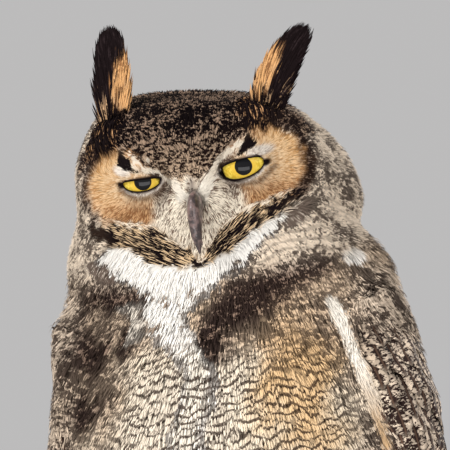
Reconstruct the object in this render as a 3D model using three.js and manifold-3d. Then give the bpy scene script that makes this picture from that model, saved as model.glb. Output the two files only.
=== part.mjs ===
// A life-size great horned owl, standing with its head low on its shoulders.
// Millimetres, +Z up. The owl faces -Y and its left side is +X. It is modelled about a point on the floor between
// its feet, and the last lines move the whole owl so that its box stands centred on the origin.
import * as THREE from "three";
import { mergeVertices } from "three/addons/utils/BufferGeometryUtils.js";
import Module from "manifold-3d";

const wasm = await Module();
wasm.setup();

// ---------------------------------------------------------------- driving sizes
const GAP = 0.4; // clearance between neighbouring solids
const BLADE_GAP = 5 * GAP; // clearance between the blades of one wing
const DEG = Math.PI / 180;

const HEAD = { centre: [-7.5, -25, 429.5], yaw: 12.7, pitch: 25, roll: -5.6 };
const EYE = { spacing: 55, radius: 16, forward: 46 };
const BILL = { base: [0, -56, -15], bend: [0, -85, -10], tip: [0, -79, -43], width: 4.6, depth: 8.4 };
const LOWER_BILL = { base: [0, -56, -33], bend: [0, -69, -33], tip: [0, -72, -39], width: 3.4, depth: 2.6 };
const CROWN = { height: 39, slope: -0.15, lean: 0.24 };
const TUFT_WIDTH = 13;
const TUFT_THICKNESS = 8;

const TAIL = { root: [0, 78, 168], tip: [0, 134, 12], rootWidth: 30, tipWidth: 43, thickness: 6.5 };
const WING = { top: 362, bottom: 36 };
const FOOT = { x: 40, y: 6, padHeight: 15 };
const TOE = { radius: 9.4, height: 7.6 };
const TALON = { radius: 4, rise: 9, tipHeight: 0.8 };

// One row for each toe: its heading from straight ahead (outwards is positive), its length and its talon's.
const TOES = [
  { name: "inner", heading: -22, length: 46, talon: 30 },
  { name: "middle", heading: 16, length: 50, talon: 28 },
  { name: "outer", heading: 76, length: 42, talon: 24 },
  { name: "hind", heading: 192, length: 34, talon: 29 },
];

// ---------------------------------------------------------------- small helpers
const vec = (x, y, z) => new THREE.Vector3(x, y, z);
const clamp = (x, low, high) => Math.min(high, Math.max(low, x));
const mix = (a, b, t) => a + (b - a) * t;

function smoothstep(low, high, x) {
  const t = clamp((x - low) / (high - low), 0, 1);
  return t * t * (3 - 2 * t);
}

// Follows values spaced evenly from t = 0 to t = 1.
function along(values, t) {
  const at = clamp(t, 0, 1) * (values.length - 1);
  const i = Math.min(values.length - 2, Math.floor(at));
  return mix(values[i], values[i + 1], smoothstep(0, 1, at - i) * 0.5 + (at - i) * 0.5);
}

function toSolid(geometry) {
  const bare = geometry.clone();
  bare.deleteAttribute("normal");
  bare.deleteAttribute("uv");
  const merged = mergeVertices(bare, 1e-3);
  return new wasm.Manifold(
    new wasm.Mesh({
      numProp: 3,
      vertProperties: merged.attributes.position.array,
      triVerts: new Uint32Array(merged.index.array),
    }),
  );
}

function toGeometry(solid) {
  const mesh = solid.getMesh();
  const geometry = new THREE.BufferGeometry();
  geometry.setAttribute("position", new THREE.BufferAttribute(mesh.vertProperties, 3));
  geometry.setIndex(new THREE.BufferAttribute(mesh.triVerts, 1));
  geometry.computeVertexNormals();
  return geometry;
}

// The same geometry on the other side of the owl.
function mirrored(geometry) {
  const copy = geometry.clone().scale(-1, 1, 1);
  const index = copy.index.array;
  for (let i = 0; i < index.length; i += 3) [index[i + 1], index[i + 2]] = [index[i + 2], index[i + 1]];
  return copy;
}

// A closed skin of rings: place(t, angle) gives its point t of the way from the first pole to the last.
function ringed(place, sides, rings) {
  const geometry = new THREE.SphereGeometry(1, sides, rings);
  const position = geometry.attributes.position;
  const v = vec(0, 0, 0);
  for (let i = 0; i < position.count; i++) {
    v.fromBufferAttribute(position, i);
    const point = place(Math.acos(clamp(v.y, -1, 1)) / Math.PI, Math.atan2(v.z, v.x));
    position.setXYZ(i, point.x, point.y, point.z);
  }
  return geometry;
}

// A tapered limb along a curve. size(t) gives its half width, across `side`, and its half depth.
function limb(curve, size, side, sides, rings, grow = 0) {
  return ringed(
    (t, angle) => {
      const tangent = curve.getTangent(t);
      const across = side.clone().addScaledVector(tangent, -side.dot(tangent)).normalize();
      const up = tangent.clone().cross(across);
      const [width, depth] = size(t);
      const round = Math.sin(Math.PI * clamp(t, 0, 1)) ** 0.4;
      return curve
        .getPoint(t)
        .addScaledVector(tangent, grow * -Math.cos(Math.PI * t))
        .addScaledVector(across, Math.cos(angle) * (width * round + grow * Math.sin(Math.PI * t)))
        .addScaledVector(up, Math.sin(angle) * (depth * round + grow * Math.sin(Math.PI * t)));
    },
    sides,
    rings,
  );
}

// All that lies on the far side of a plane, as a large box. The plane passes through `point`.
function halfSpace(point, normal) {
  const size = 1200;
  const box = new THREE.BoxGeometry(size, size, size);
  const turn = new THREE.Quaternion().setFromUnitVectors(vec(0, 0, 1), normal.clone().normalize());
  box.translate(0, 0, size / 2);
  box.applyQuaternion(turn);
  box.translate(point.x, point.y, point.z);
  return toSolid(box);
}

// ---------------------------------------------------------------- the head's own frame
const headFrame = new THREE.Matrix4().compose(
  vec(...HEAD.centre),
  new THREE.Quaternion().setFromEuler(
    new THREE.Euler(HEAD.pitch * DEG, HEAD.roll * DEG, HEAD.yaw * DEG, "ZXY"),
  ),
  vec(1, 1, 1),
);
const intoHead = headFrame.clone().invert();
const headPoint = (x, y, z) => vec(x, y, z).applyMatrix4(headFrame);
const headDirection = (x, y, z) => vec(x, y, z).transformDirection(headFrame);

// ---------------------------------------------------------------- the body as one soft form
// About how far a point is outside an ellipsoid, negative inside. lean tips its top forwards.
function ellipsoid(p, centre, radii, lean = 0) {
  const c = Math.cos(lean * DEG);
  const s = Math.sin(lean * DEG);
  const x = p.x - centre[0];
  const dy = p.y - centre[1];
  const dz = p.z - centre[2];
  const y = c * dy + s * dz;
  const z = -s * dy + c * dz;
  const k0 = Math.hypot(x / radii[0], y / radii[1], z / radii[2]);
  const k1 = Math.hypot(x / radii[0] ** 2, y / radii[1] ** 2, z / radii[2] ** 2);
  return k1 < 1e-9 ? -Math.min(...radii) : (k0 * (k0 - 1)) / k1;
}

function softJoin(a, b, reach) {
  const h = Math.max(reach - Math.abs(a - b), 0) / reach;
  return Math.min(a, b) - (h * h * reach) / 4;
}

const softCut = (a, b, reach) => -softJoin(-a, -b, reach);

function headForm(world) {
  const p = world.clone().applyMatrix4(intoHead);
  const paired = vec(Math.abs(p.x), p.y, p.z);
  const level = vec(p.x, p.y, p.z + CROWN.lean * Math.max(p.x, -14));
  let d = ellipsoid(level, [-1, 6, 0], [79, 66, 54]);
  d = softJoin(d, ellipsoid(paired, [34, -32, -6], [38, 25, 42]), 10); // facial disc
  d = softJoin(d, ellipsoid(p, [0, -28, 14], [38, 32, 26]), 16); // forehead
  d = softJoin(d, ellipsoid(paired, [30, -34, 22], [22, 22, 12]), 10); // brow
  d = softJoin(d, ellipsoid(p, [0, -42, -18], [14, 20, 20]), 12); // root of the bill
  d = softJoin(d, ellipsoid(p, [0, -26, -38], [52, 30, 24]), 16); // chin and ruff
  return softCut(d, p.z - CROWN.height - p.x * CROWN.slope, 14);
}

function trunkForm(p) {
  let d = ellipsoid(p, [4, -4, 286], [96, 75, 88], 8);
  d = softJoin(d, ellipsoid(p, [0, 8, 214], [102, 80, 108], 14), 40);
  d = softJoin(d, ellipsoid(p, [0, 18, 128], [86, 64, 78], 10), 30);
  d = softJoin(d, ellipsoid(p, [0, 70, 128], [46, 34, 62], 16), 30);
  d = softJoin(d, ellipsoid(p, [-11, -1, 362], [99, 63, 75], 0), 30);
  return softJoin(d, ellipsoid(p, [46, 2, 362], [48, 50, 30], 0), 16); // the left shoulder, held higher
}

const bodyForm = (p) => softJoin(headForm(p), trunkForm(p), 28);

// The solid seen from its own centre: each ray goes out to the first place where form turns positive.
function starSolid(centre, form, sides, rings) {
  const middle = vec(...centre);
  const reach = 420;
  const step = 4;
  return ringed(
    (t, angle) => {
      const ray = vec(Math.cos(angle) * Math.sin(Math.PI * t), -Math.sin(angle) * Math.sin(Math.PI * t), 0);
      ray.z = Math.cos(Math.PI * t);
      let near = 0;
      while (near < reach && form(middle.clone().addScaledVector(ray, near + step)) < 0) near += step;
      let far = near + step;
      for (let i = 0; i < 18; i++) {
        const half = (near + far) / 2;
        if (form(middle.clone().addScaledVector(ray, half)) < 0) near = half;
        else far = half;
      }
      return middle.clone().addScaledVector(ray, near);
    },
    sides,
    rings,
  );
}

// Two thin cuts part the body into head, neck and trunk.
const cutPlane = (height, tilt) => ({
  point: vec(0, -10, height),
  normal: vec(0, -Math.sin(tilt * DEG), Math.cos(tilt * DEG)),
});
const THROAT_CUT = cutPlane(374, 24);
const SHOULDER_CUT = cutPlane(326, 12);
const above = (cut, p) => p.clone().sub(cut.point).dot(cut.normal);
const SPARE = 26; // how far each form runs past its cut before the cut is made

function keepAbove(solid, cut) {
  return solid.intersect(halfSpace(cut.point.clone().addScaledVector(cut.normal, GAP / 2), cut.normal));
}

function keepBelow(solid, cut) {
  const down = cut.normal.clone().negate();
  return solid.intersect(halfSpace(cut.point.clone().addScaledVector(down, GAP / 2), down));
}

function headSolid() {
  const form = (p) => Math.max(bodyForm(p), -above(THROAT_CUT, p) - SPARE);
  return keepAbove(toSolid(starSolid(headPoint(0, -4, -4).toArray(), form, 28, 22)), THROAT_CUT);
}

function neckSolid(grow = 0) {
  const form = (p) =>
    Math.max(bodyForm(p) - grow, above(THROAT_CUT, p) - SPARE, -above(SHOULDER_CUT, p) - SPARE);
  const whole = toSolid(starSolid([0, -8, 350], form, 26, 16));
  return grow ? whole : keepAbove(keepBelow(whole, THROAT_CUT), SHOULDER_CUT);
}

function trunkSolid(grow = 0) {
  const form = (p) => Math.max(bodyForm(p) - grow, above(SHOULDER_CUT, p) - SPARE);
  const whole = toSolid(starSolid([0, 12, 200], form, 28, 20));
  return grow ? whole : keepBelow(whole, SHOULDER_CUT);
}

// ---------------------------------------------------------------- wings, laid against the body
// The line, from front to back of the owl, that a folded wing's cross-sections turn about.
const wingAxis = (z) => vec(0, along([84, 62, 34, 12, 0, -6, -10], (z - 20) / 340), z);

// How far the body reaches from that line at an angle (0 is the side, 90 is the back) and height.
function bodyReach(angle, z, side) {
  const axis = wingAxis(z);
  const ray = vec(side * Math.cos(angle), Math.sin(angle), 0);
  const least = along([44, 52, 66, 60, 40, 30, 30], (z - 20) / 340);
  let r = 10;
  while (r < 140 && bodyForm(axis.clone().addScaledVector(ray, r)) < 0) r += 1.5;
  return -softJoin(-r, -least, 20);
}

// A blade of the folded left wing, from its top to its bottom height. Each layer lies over the one before.
// heading is where its middle faces, and halfAngle how far it reaches to its front and back edges.
const WING_PARTS = [
  {
    name: "primaries",
    span: [196, WING.bottom],
    heading: [8, 20, 34, 50, 64],
    halfAngle: [14, 20, 22, 20, 12],
    thickness: 4,
  },
  {
    name: "secondaries",
    span: [262, 80],
    heading: [34, 44, 52, 60, 66],
    halfAngle: [30, 34, 32, 26, 16],
    thickness: 7.5,
  },
  {
    name: "coverts",
    span: [WING.top, 150],
    heading: [-12, 8, 25, 36, 42],
    halfAngle: [48, 47, 44, 37, 22],
    thickness: 9,
  },
];
const EDGE = 1; // thickness of a blade's rim
const CLEAR = 2.4; // room under a blade, so that its flat facets stay off the round body

// Both wings are made on the left, round the left or the right half of the body (side 1 or -1).
function wingBlade(part, side, grow = 0) {
  return ringed(
    (t, angle) => {
      const z = mix(part.span[0], part.span[1], t) + grow * 2 * Math.cos(Math.PI * t);
      const round = Math.sin(Math.PI * clamp(t, 0, 1)) ** mix(0.75, 0.6, t);
      const swell = grow * Math.sin(Math.PI * clamp(t, 0, 1)) ** 0.3;
      const spread = along(part.halfAngle, t) * DEG * round + swell * 0.02;
      const turn = along(part.heading, t) * DEG + Math.cos(angle) * spread;
      const outer = part.thickness * round * Math.max(Math.sin(angle), 0);
      const inner = EDGE * (1 + Math.min(Math.sin(angle), 0) * round);
      const clear = CLEAR + CLEAR * 2 * (1 - t) ** 6;
      const r = bodyReach(turn, z, side) + clear + outer + inner + swell * Math.sin(angle);
      return wingAxis(z).add(vec(Math.cos(turn) * r, Math.sin(turn) * r, 0));
    },
    16,
    9,
  );
}

function wingSolids(around, side) {
  const solids = [];
  let taken = around;
  for (const part of WING_PARTS) {
    const blade = largest(toSolid(wingBlade(part, side)).subtract(taken));
    solids.push([part.name, blade]);
    taken = taken.add(toSolid(wingBlade(part, side, BLADE_GAP)));
  }
  return solids;
}

// The main piece of a solid, once a cut has left slivers beside it.
const largest = (solid) => solid.decompose().sort((a, b) => b.volume() - a.volume())[0];

// ---------------------------------------------------------------- tail
function tailBlade(grow = 0) {
  const line = new THREE.LineCurve3(vec(...TAIL.root), vec(...TAIL.tip));
  const size = (t) => [
    mix(TAIL.rootWidth, TAIL.tipWidth, smoothstep(0, 0.8, t)),
    TAIL.thickness * mix(1.5, 0.7, t),
  ];
  return limb(line, size, vec(1, 0, 0), 18, 8, grow);
}

// ---------------------------------------------------------------- ear tufts, eyes and bill
// Each tuft runs from its root on the brow to its tip, both in the head's own frame.
const TUFTS = [
  { name: "ear_tuft_right", root: [-45, -36, 26], bend: [-38, -37, 60], tip: [-41.5, -14, 85] },
  { name: "ear_tuft_left", root: [38, -36, 20], bend: [47, -35, 48], tip: [68, -10, 67.5] },
];

function tuftBlade(tuft, grow = 0) {
  const curve = new THREE.QuadraticBezierCurve3(
    headPoint(...tuft.root),
    headPoint(...tuft.bend),
    headPoint(...tuft.tip),
  );
  const size = (t) => [
    TUFT_WIDTH * along([0.95, 1, 1, 0.85, 0.35], t),
    TUFT_THICKNESS * along([1.3, 1.1, 0.9, 0.7, 0.35], t),
  ];
  return limb(curve, size, headDirection(1, 0.25, 0), 12, 9, grow);
}

function billBlade(bill, grow = 0) {
  const curve = new THREE.QuadraticBezierCurve3(
    headPoint(...bill.base),
    headPoint(...bill.bend),
    headPoint(...bill.tip),
  );
  const size = (t) => [
    bill.width * along([1, 1, 0.82, 0.55, 0.16], t),
    bill.depth * along([1, 1, 0.85, 0.6, 0.18], t),
  ];
  return limb(curve, size, headDirection(1, 0, 0), 12, 10, grow);
}

function eyeBall(side, grow = 0) {
  const ball = new THREE.SphereGeometry(EYE.radius + grow, 14, 10);
  const place = headPoint((side * EYE.spacing) / 2, -EYE.forward, 0);
  return ball.rotateX(Math.PI / 2).translate(place.x, place.y, place.z);
}

// ---------------------------------------------------------------- legs, made on the left side
const floor = () => halfSpace(vec(0, 0, 0), vec(0, 0, 1));

function legBlade(grow = 0) {
  const curve = new THREE.CatmullRomCurve3([
    vec(FOOT.x - 2, FOOT.y + 12, 128),
    vec(FOOT.x, FOOT.y + 12, 88),
    vec(FOOT.x, FOOT.y + 7, 48),
    vec(FOOT.x, FOOT.y + 1, FOOT.padHeight * 0.4),
  ]);
  const size = (t) => [along([34, 34, 30, 24, 18], t), along([36, 37, 32, 25, 19], t)];
  return limb(curve, size, vec(1, 0, 0), 12, 8, grow);
}

const toeDirection = (toe) => vec(Math.sin(toe.heading * DEG), -Math.cos(toe.heading * DEG), 0);

function toeBlade(toe, grow = 0) {
  const ahead = toeDirection(toe);
  const start = vec(FOOT.x, FOOT.y, TOE.height + 2);
  const curve = new THREE.QuadraticBezierCurve3(
    start,
    start.clone().addScaledVector(ahead, toe.length * 0.5),
    vec(FOOT.x, FOOT.y, TOE.height - 1).addScaledVector(ahead, toe.length),
  );
  const size = (t) => [TOE.radius * along([1.1, 1.05, 1, 0.85], t), TOE.radius * along([1.1, 1, 0.95, 0.8], t)];
  return limb(curve, size, ahead.clone().cross(vec(0, 0, 1)), 8, 6, grow);
}

function talonBlade(toe) {
  const ahead = toeDirection(toe);
  const start = vec(FOOT.x, FOOT.y, TOE.height + 1).addScaledVector(ahead, toe.length - 6);
  const curve = new THREE.QuadraticBezierCurve3(
    start,
    start.clone().addScaledVector(ahead, toe.talon * 0.7).add(vec(0, 0, TALON.rise)),
    vec(start.x, start.y, TALON.tipHeight).addScaledVector(ahead, toe.talon),
  );
  const size = (t) => [
    TALON.radius * along([1, 1, 0.8, 0.5, 0.15], t),
    TALON.radius * along([1.1, 1.1, 0.85, 0.55, 0.15], t),
  ];
  return limb(curve, size, ahead.clone().cross(vec(0, 0, 1)), 6, 5);
}

// ---------------------------------------------------------------- materials
const plain = (color, roughness) => new THREE.MeshStandardMaterial({ color, roughness, metalness: 0 });
const PLUMAGE = plain(0x75604a, 0.9);
const FACE = plain(0xa98560, 0.9);
const WING_FEATHER = plain(0x57483a, 0.8);
const TAIL_FEATHER = plain(0x6d5b48, 0.8);
const TUFT = plain(0x2a211c, 0.85);
const LEG = plain(0xb39a78, 0.9);
const IRIS = plain(0xe0b912, 0.1);
const HORN = plain(0x23211f, 0.35);

// ---------------------------------------------------------------- assembly
const owl = new THREE.Group();

function add(name, solid, material) {
  const mesh = new THREE.Mesh(toGeometry(solid), material);
  mesh.name = name;
  owl.add(mesh);
}

function addMirrored(name, solid, material) {
  const mesh = new THREE.Mesh(mirrored(toGeometry(solid)), material);
  mesh.name = name;
  owl.add(mesh);
}

function addPair(name, solid, material) {
  add(`${name}_left`, solid, material);
  addMirrored(`${name}_right`, solid, material);
}

function addHead() {
  const upper = toSolid(billBlade(BILL));
  const upperGrown = toSolid(billBlade(BILL, GAP));
  const lower = toSolid(billBlade(LOWER_BILL)).subtract(upperGrown);
  let head = headSolid().subtract(upperGrown).subtract(toSolid(billBlade(LOWER_BILL, GAP)));
  for (const tuft of TUFTS) {
    head = head.subtract(toSolid(tuftBlade(tuft, GAP)));
    add(tuft.name, toSolid(tuftBlade(tuft)), TUFT);
  }
  for (const [name, side] of [["eye_left", 1], ["eye_right", -1]]) {
    head = head.subtract(toSolid(eyeBall(side, GAP)));
    add(name, toSolid(eyeBall(side)), IRIS);
  }
  add("head", largest(head), FACE);
  add("bill_upper", upper, HORN);
  add("bill_lower", largest(lower), HORN);
}

function addTrunk() {
  add("neck", neckSolid(), PLUMAGE);
  const tailGrown = toSolid(tailBlade(GAP));
  const legGrown = toSolid(legBlade(GAP));
  const otherLegGrown = toSolid(mirrored(toGeometry(legGrown)));
  const trunk = trunkSolid().subtract(tailGrown);
  add("tail", toSolid(tailBlade()), TAIL_FEATHER);
  add("trunk", largest(trunk), PLUMAGE);
  const around = tailGrown.add(legGrown).add(otherLegGrown);
  const neckGrown = neckSolid(GAP * 1.5);
  const leftWing = wingSolids(around.add(neckGrown), 1);
  const rightWing = wingSolids(around.add(toSolid(mirrored(toGeometry(neckGrown)))), -1);
  for (const [name, solid] of leftWing) add(`wing_${name}_left`, solid, WING_FEATHER);
  for (const [name, solid] of rightWing) addMirrored(`wing_${name}_right`, solid, WING_FEATHER);
}

function addLegs() {
  const trunkGrown = trunkSolid(GAP * 1.5).add(toSolid(tailBlade(GAP)));
  const leg = largest(toSolid(legBlade()).intersect(floor()).subtract(trunkGrown));
  addPair("leg", leg, LEG);
  let taken = toSolid(legBlade(GAP));
  for (const toe of TOES) {
    const solid = largest(toSolid(toeBlade(toe)).intersect(floor()).subtract(taken));
    taken = taken.add(toSolid(toeBlade(toe, GAP)));
    addPair(`toe_${toe.name}`, solid, LEG);
    const talon = toSolid(talonBlade(toe)).intersect(floor()).subtract(toSolid(toeBlade(toe, GAP)));
    addPair(`talon_${toe.name}`, largest(talon), HORN);
  }
}

addHead();
addTrunk();
addLegs();

const whole = new THREE.Box3().setFromObject(owl);
const middle = whole.getCenter(vec(0, 0, 0));
owl.position.set(-middle.x, -middle.y, -whole.min.z);

export default owl;
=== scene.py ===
"""A life-size great horned owl in its plumage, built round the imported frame."""
import math

import bmesh
import bpy
import numpy as np
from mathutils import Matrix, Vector
from mathutils.bvhtree import BVHTree
from mathutils.kdtree import KDTree


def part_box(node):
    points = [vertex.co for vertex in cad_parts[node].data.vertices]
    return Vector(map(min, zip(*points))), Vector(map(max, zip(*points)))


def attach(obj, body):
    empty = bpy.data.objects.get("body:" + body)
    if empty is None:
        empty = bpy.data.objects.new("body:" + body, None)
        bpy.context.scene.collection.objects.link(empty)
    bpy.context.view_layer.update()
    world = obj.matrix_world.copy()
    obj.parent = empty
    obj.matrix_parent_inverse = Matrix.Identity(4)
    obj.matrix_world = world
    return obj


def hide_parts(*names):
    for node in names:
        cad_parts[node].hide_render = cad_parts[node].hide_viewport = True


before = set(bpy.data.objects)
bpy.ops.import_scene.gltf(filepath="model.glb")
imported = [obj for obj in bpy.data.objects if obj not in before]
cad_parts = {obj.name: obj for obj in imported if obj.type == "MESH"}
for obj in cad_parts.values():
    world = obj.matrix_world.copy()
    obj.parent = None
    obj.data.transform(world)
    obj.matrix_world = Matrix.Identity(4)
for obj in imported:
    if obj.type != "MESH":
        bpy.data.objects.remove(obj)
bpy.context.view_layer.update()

MM = 0.001
SEED = 7

# ---------------------------------------------------------------- the head's own frame
HEAD_YAW = 12.7
HEAD_PITCH = 25.0
HEAD_ROLL = -5.6
EYE_FORWARD = 46.0  # how far the eyeballs' middles lie in front of the head's own middle


def turned(axis, degrees):
    """The rotation matrix of a turn about x, y or z."""
    c, s = math.cos(math.radians(degrees)), math.sin(math.radians(degrees))
    i = "xyz".index(axis)
    j, k = (i + 1) % 3, (i + 2) % 3
    matrix = np.eye(3)
    matrix[j, j] = matrix[k, k] = c
    matrix[k, j], matrix[j, k] = s, -s
    return matrix


def middle_of(node):
    """The middle of a CAD node's box."""
    low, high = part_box(node)
    return np.array((low + high) / 2)


HEAD_AXES = turned("z", HEAD_YAW) @ turned("x", HEAD_PITCH) @ turned("y", HEAD_ROLL)
EYES = {"left": middle_of("eye_left"), "right": middle_of("eye_right")}
HEAD_MIDDLE = (EYES["left"] + EYES["right"]) / 2 + HEAD_AXES @ np.array((0, EYE_FORWARD, 0)) * MM
EYE_APART = float(np.linalg.norm(EYES["left"] - EYES["right"]) / 2 / MM)
EYE_RADIUS = float((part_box("eye_left")[1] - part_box("eye_left")[0]).x / 2 / MM)


def to_head(points):
    """Points in the head's own frame, in millimetres: x to its left, y back, z up."""
    return (np.asarray(points) - HEAD_MIDDLE) @ HEAD_AXES / MM


def from_head(points):
    """Points given in the head's own frame, in millimetres, as places in the scene."""
    return HEAD_MIDDLE + np.asarray(points, float) @ HEAD_AXES.T * MM


# ---------------------------------------------------------------- small helpers
def smooth(low, high, x):
    """0 below low and 1 above high, with a soft step between. low may be the larger one."""
    t = np.clip((x - low) / (high - low), 0, 1)
    return t * t * (3 - 2 * t)


def within(value, rise, fall):
    """1 between rise and fall, with a soft step over each of them."""
    return smooth(*rise, value) * smooth(fall[1], fall[0], value)


def unit(v):
    """Vectors of length one, row by row."""
    return v / np.maximum(np.linalg.norm(v, axis=-1, keepdims=True), 1e-12)


def paint(red, green, blue):
    """A colour seen on a plumage card, as the light it throws back."""
    seen = np.array((red, green, blue)) / 255
    return np.where(seen <= 0.04045, seen / 12.92, ((seen + 0.055) / 1.055) ** 2.4)


def blend(base, over, mask):
    """One colour or number laid over another where the mask says."""
    mask = mask[:, None] if np.ndim(base) == 2 else mask
    return base + (over - base) * mask


def to_line(x, z, points):
    """How far each place is from a bent line, and how far along it that is, from 0 to 1."""
    points = np.array(points, float)
    steps = np.linalg.norm(np.diff(points, axis=0), axis=1)
    total, start = steps.sum(), 0.0
    best, where = np.full(len(x), 1e9), np.zeros(len(x))
    for a, b, step in zip(points[:-1], points[1:], steps):
        t = np.clip(((x - a[0]) * (b - a)[0] + (z - a[1]) * (b - a)[1]) / step**2, 0, 1)
        gap = np.hypot(x - a[0] - t * (b - a)[0], z - a[1] - t * (b - a)[1])
        nearer = gap < best
        best = np.where(nearer, gap, best)
        where = np.where(nearer, (start + t * step) / total, where)
        start += step
    return best, where


def spot(x, z, middle, radii, turn=0.0, edge=0.25):
    """A soft-edged oval mark."""
    c, s = math.cos(math.radians(turn)), math.sin(math.radians(turn))
    u = ((x - middle[0]) * c + (z - middle[1]) * s) / radii[0]
    v = (-(x - middle[0]) * s + (z - middle[1]) * c) / radii[1]
    return smooth(1 + edge, 1 - edge, np.hypot(u, v))


def ripple(points, size, seed):
    """Smooth random waves from -1 to 1 over space, about `size` millimetres across."""
    rng = np.random.default_rng(seed)
    total = np.zeros(len(points))
    waves = 9
    for _ in range(waves):
        heading = rng.normal(size=3)
        heading /= np.linalg.norm(heading)
        pitch = size * rng.uniform(0.7, 1.5)
        total += np.sin(points @ heading / MM * 2 * math.pi / pitch + rng.uniform(0, 2 * math.pi))
    return total / math.sqrt(waves / 2) / 1.6


# ---------------------------------------------------------------- the skin under the feathers
SIDES = ("left", "right")
OUTWARDS = {"left": 1, "right": -1}
TOES = ("inner", "middle", "outer", "hind")
WING_PARTS = ("coverts", "secondaries", "primaries")
FLESH = ["head", "neck", "trunk", "leg_left", "leg_right"] + [f"toe_{t}_{s}" for t in TOES for s in SIDES]
WINGS = {side: [f"wing_{part}_{side}" for part in WING_PARTS] for side in SIDES}
UNDER_COAT = FLESH + WINGS["left"] + WINGS["right"] + ["tail"]

# How deep the coat is over each part, in millimetres.
COAT_DEPTH = {"head": 3.6, "neck": 5.5, "trunk": 6.0, "leg": 4.5, "toe": 1.8, "tail": 2.0,
              "wing_coverts": 3.2, "wing_secondaries": 2.0, "wing_primaries": 1.2}
FACE_DEPTH = 2.2
SKIN_VOXEL = 2.4 * MM
# Where the wings melt into the neck: the heights over which each change comes and goes, in millimetres, and how
# often the skin is evened out there.
SHOULDERS, SHOULDER_ROUNDS = ((322, 346), (384, 404)), 40
WING_TOPS, WING_TOP_ROUNDS = ((306, 330), (382, 398)), 60
EVENING_LOSS = 1.6 * MM  # how much the evening out takes off the shoulders
# How much deeper the coat is over the wings' tops, over the temples, and in the crease between the cheek and
# the left shoulder, in millimetres.
WING_TOP_SINK, SINK_HEIGHTS = {"left": 1.0, "right": 7.0}, ((322, 348), (364, 374))
TEMPLE_SINK = {"left": 3.5, "right": 2.5}
NECK_SINK, CREASE_HEIGHTS = 9.0, ((374, 388), (398, 412))
SEAM_CLOSING = 0.5 * MM  # how far the copies grow, so that neighbours run into each other


def bare_copy(node, grow=0.0):
    """A merged copy of a CAD node, its surface moved out by grow: its points and its triangles."""
    shape = bmesh.new()
    shape.from_mesh(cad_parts[node].data)
    bmesh.ops.remove_doubles(shape, verts=shape.verts, dist=1e-6)
    bmesh.ops.triangulate(shape, faces=shape.faces)
    shape.normal_update()
    points = np.array([v.co + v.normal * grow for v in shape.verts])
    triangles = np.array([[v.index for v in face.verts] for face in shape.faces])
    shape.free()
    return points, triangles


def join_copies(nodes, grow=0.0):
    """Copies of these CAD nodes as one set of points and triangles, with each triangle's node number."""
    points, triangles, owners, count = [], [], [], 0
    for number, node in enumerate(nodes):
        p, t = bare_copy(node, grow)
        points.append(p)
        triangles.append(t + count)
        owners.append(np.full(len(t), number))
        count += len(p)
    return np.concatenate(points), np.concatenate(triangles), np.concatenate(owners)


def new_piece(name, points, faces):
    """A mesh object in the scene made of these points and faces."""
    mesh = bpy.data.meshes.new(name)
    mesh.from_pydata([tuple(p) for p in points], [], [tuple(int(i) for i in f) for f in faces])
    mesh.update()
    piece = bpy.data.objects.new(name, mesh)
    bpy.context.scene.collection.objects.link(piece)
    return piece


def only(piece):
    """Selects this piece alone and makes it active."""
    bpy.ops.object.select_all(action="DESELECT")
    piece.select_set(True)
    bpy.context.view_layer.objects.active = piece


def with_modifier(piece, kind, **settings):
    """Adds a modifier with these settings and applies it."""
    only(piece)
    bpy.ops.object.modifier_add(type=kind)
    modifier = piece.modifiers[-1]
    for key, value in settings.items():
        setattr(modifier, key, value)
    bpy.ops.object.modifier_apply(modifier=modifier.name)


def points_of(piece):
    """A piece's points as an array."""
    points = np.empty(len(piece.data.vertices) * 3, np.float32)
    piece.data.vertices.foreach_get("co", points)
    return points.reshape(-1, 3).astype(float)


def set_points(piece, points):
    """Moves a piece's points to these places."""
    piece.data.vertices.foreach_set("co", points.astype(np.float32).ravel())
    piece.data.update()


def normals_of(piece):
    """The directions that a piece's surface faces at its points."""
    normals = np.empty(len(piece.data.vertices) * 3, np.float32)
    piece.data.vertex_normals.foreach_get("vector", normals)
    return normals.reshape(-1, 3).astype(float)


def triangles_of(piece):
    """A piece's surface as triangles, by the numbers of their points."""
    piece.data.calc_loop_triangles()
    triangles = np.empty(len(piece.data.loop_triangles) * 3, np.int32)
    piece.data.loop_triangles.foreach_get("vertices", triangles)
    return triangles.reshape(-1, 3)


def spread_over(piece, values, rounds):
    """Evens out a value held at each of a piece's points, by sharing it along the edges."""
    edges = np.empty(len(piece.data.edges) * 2, np.int32)
    piece.data.edges.foreach_get("vertices", edges)
    a, b = edges.reshape(-1, 2).T
    values = np.atleast_2d(values.T).T.astype(float)
    count = np.bincount(np.concatenate((a, b)), minlength=len(values))[:, None] + 1
    for _ in range(rounds):
        total = values.copy()
        for column in range(values.shape[1]):
            total[:, column] += np.bincount(a, values[b, column], len(values))
            total[:, column] += np.bincount(b, values[a, column], len(values))
        values = total / count
    return values


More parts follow.
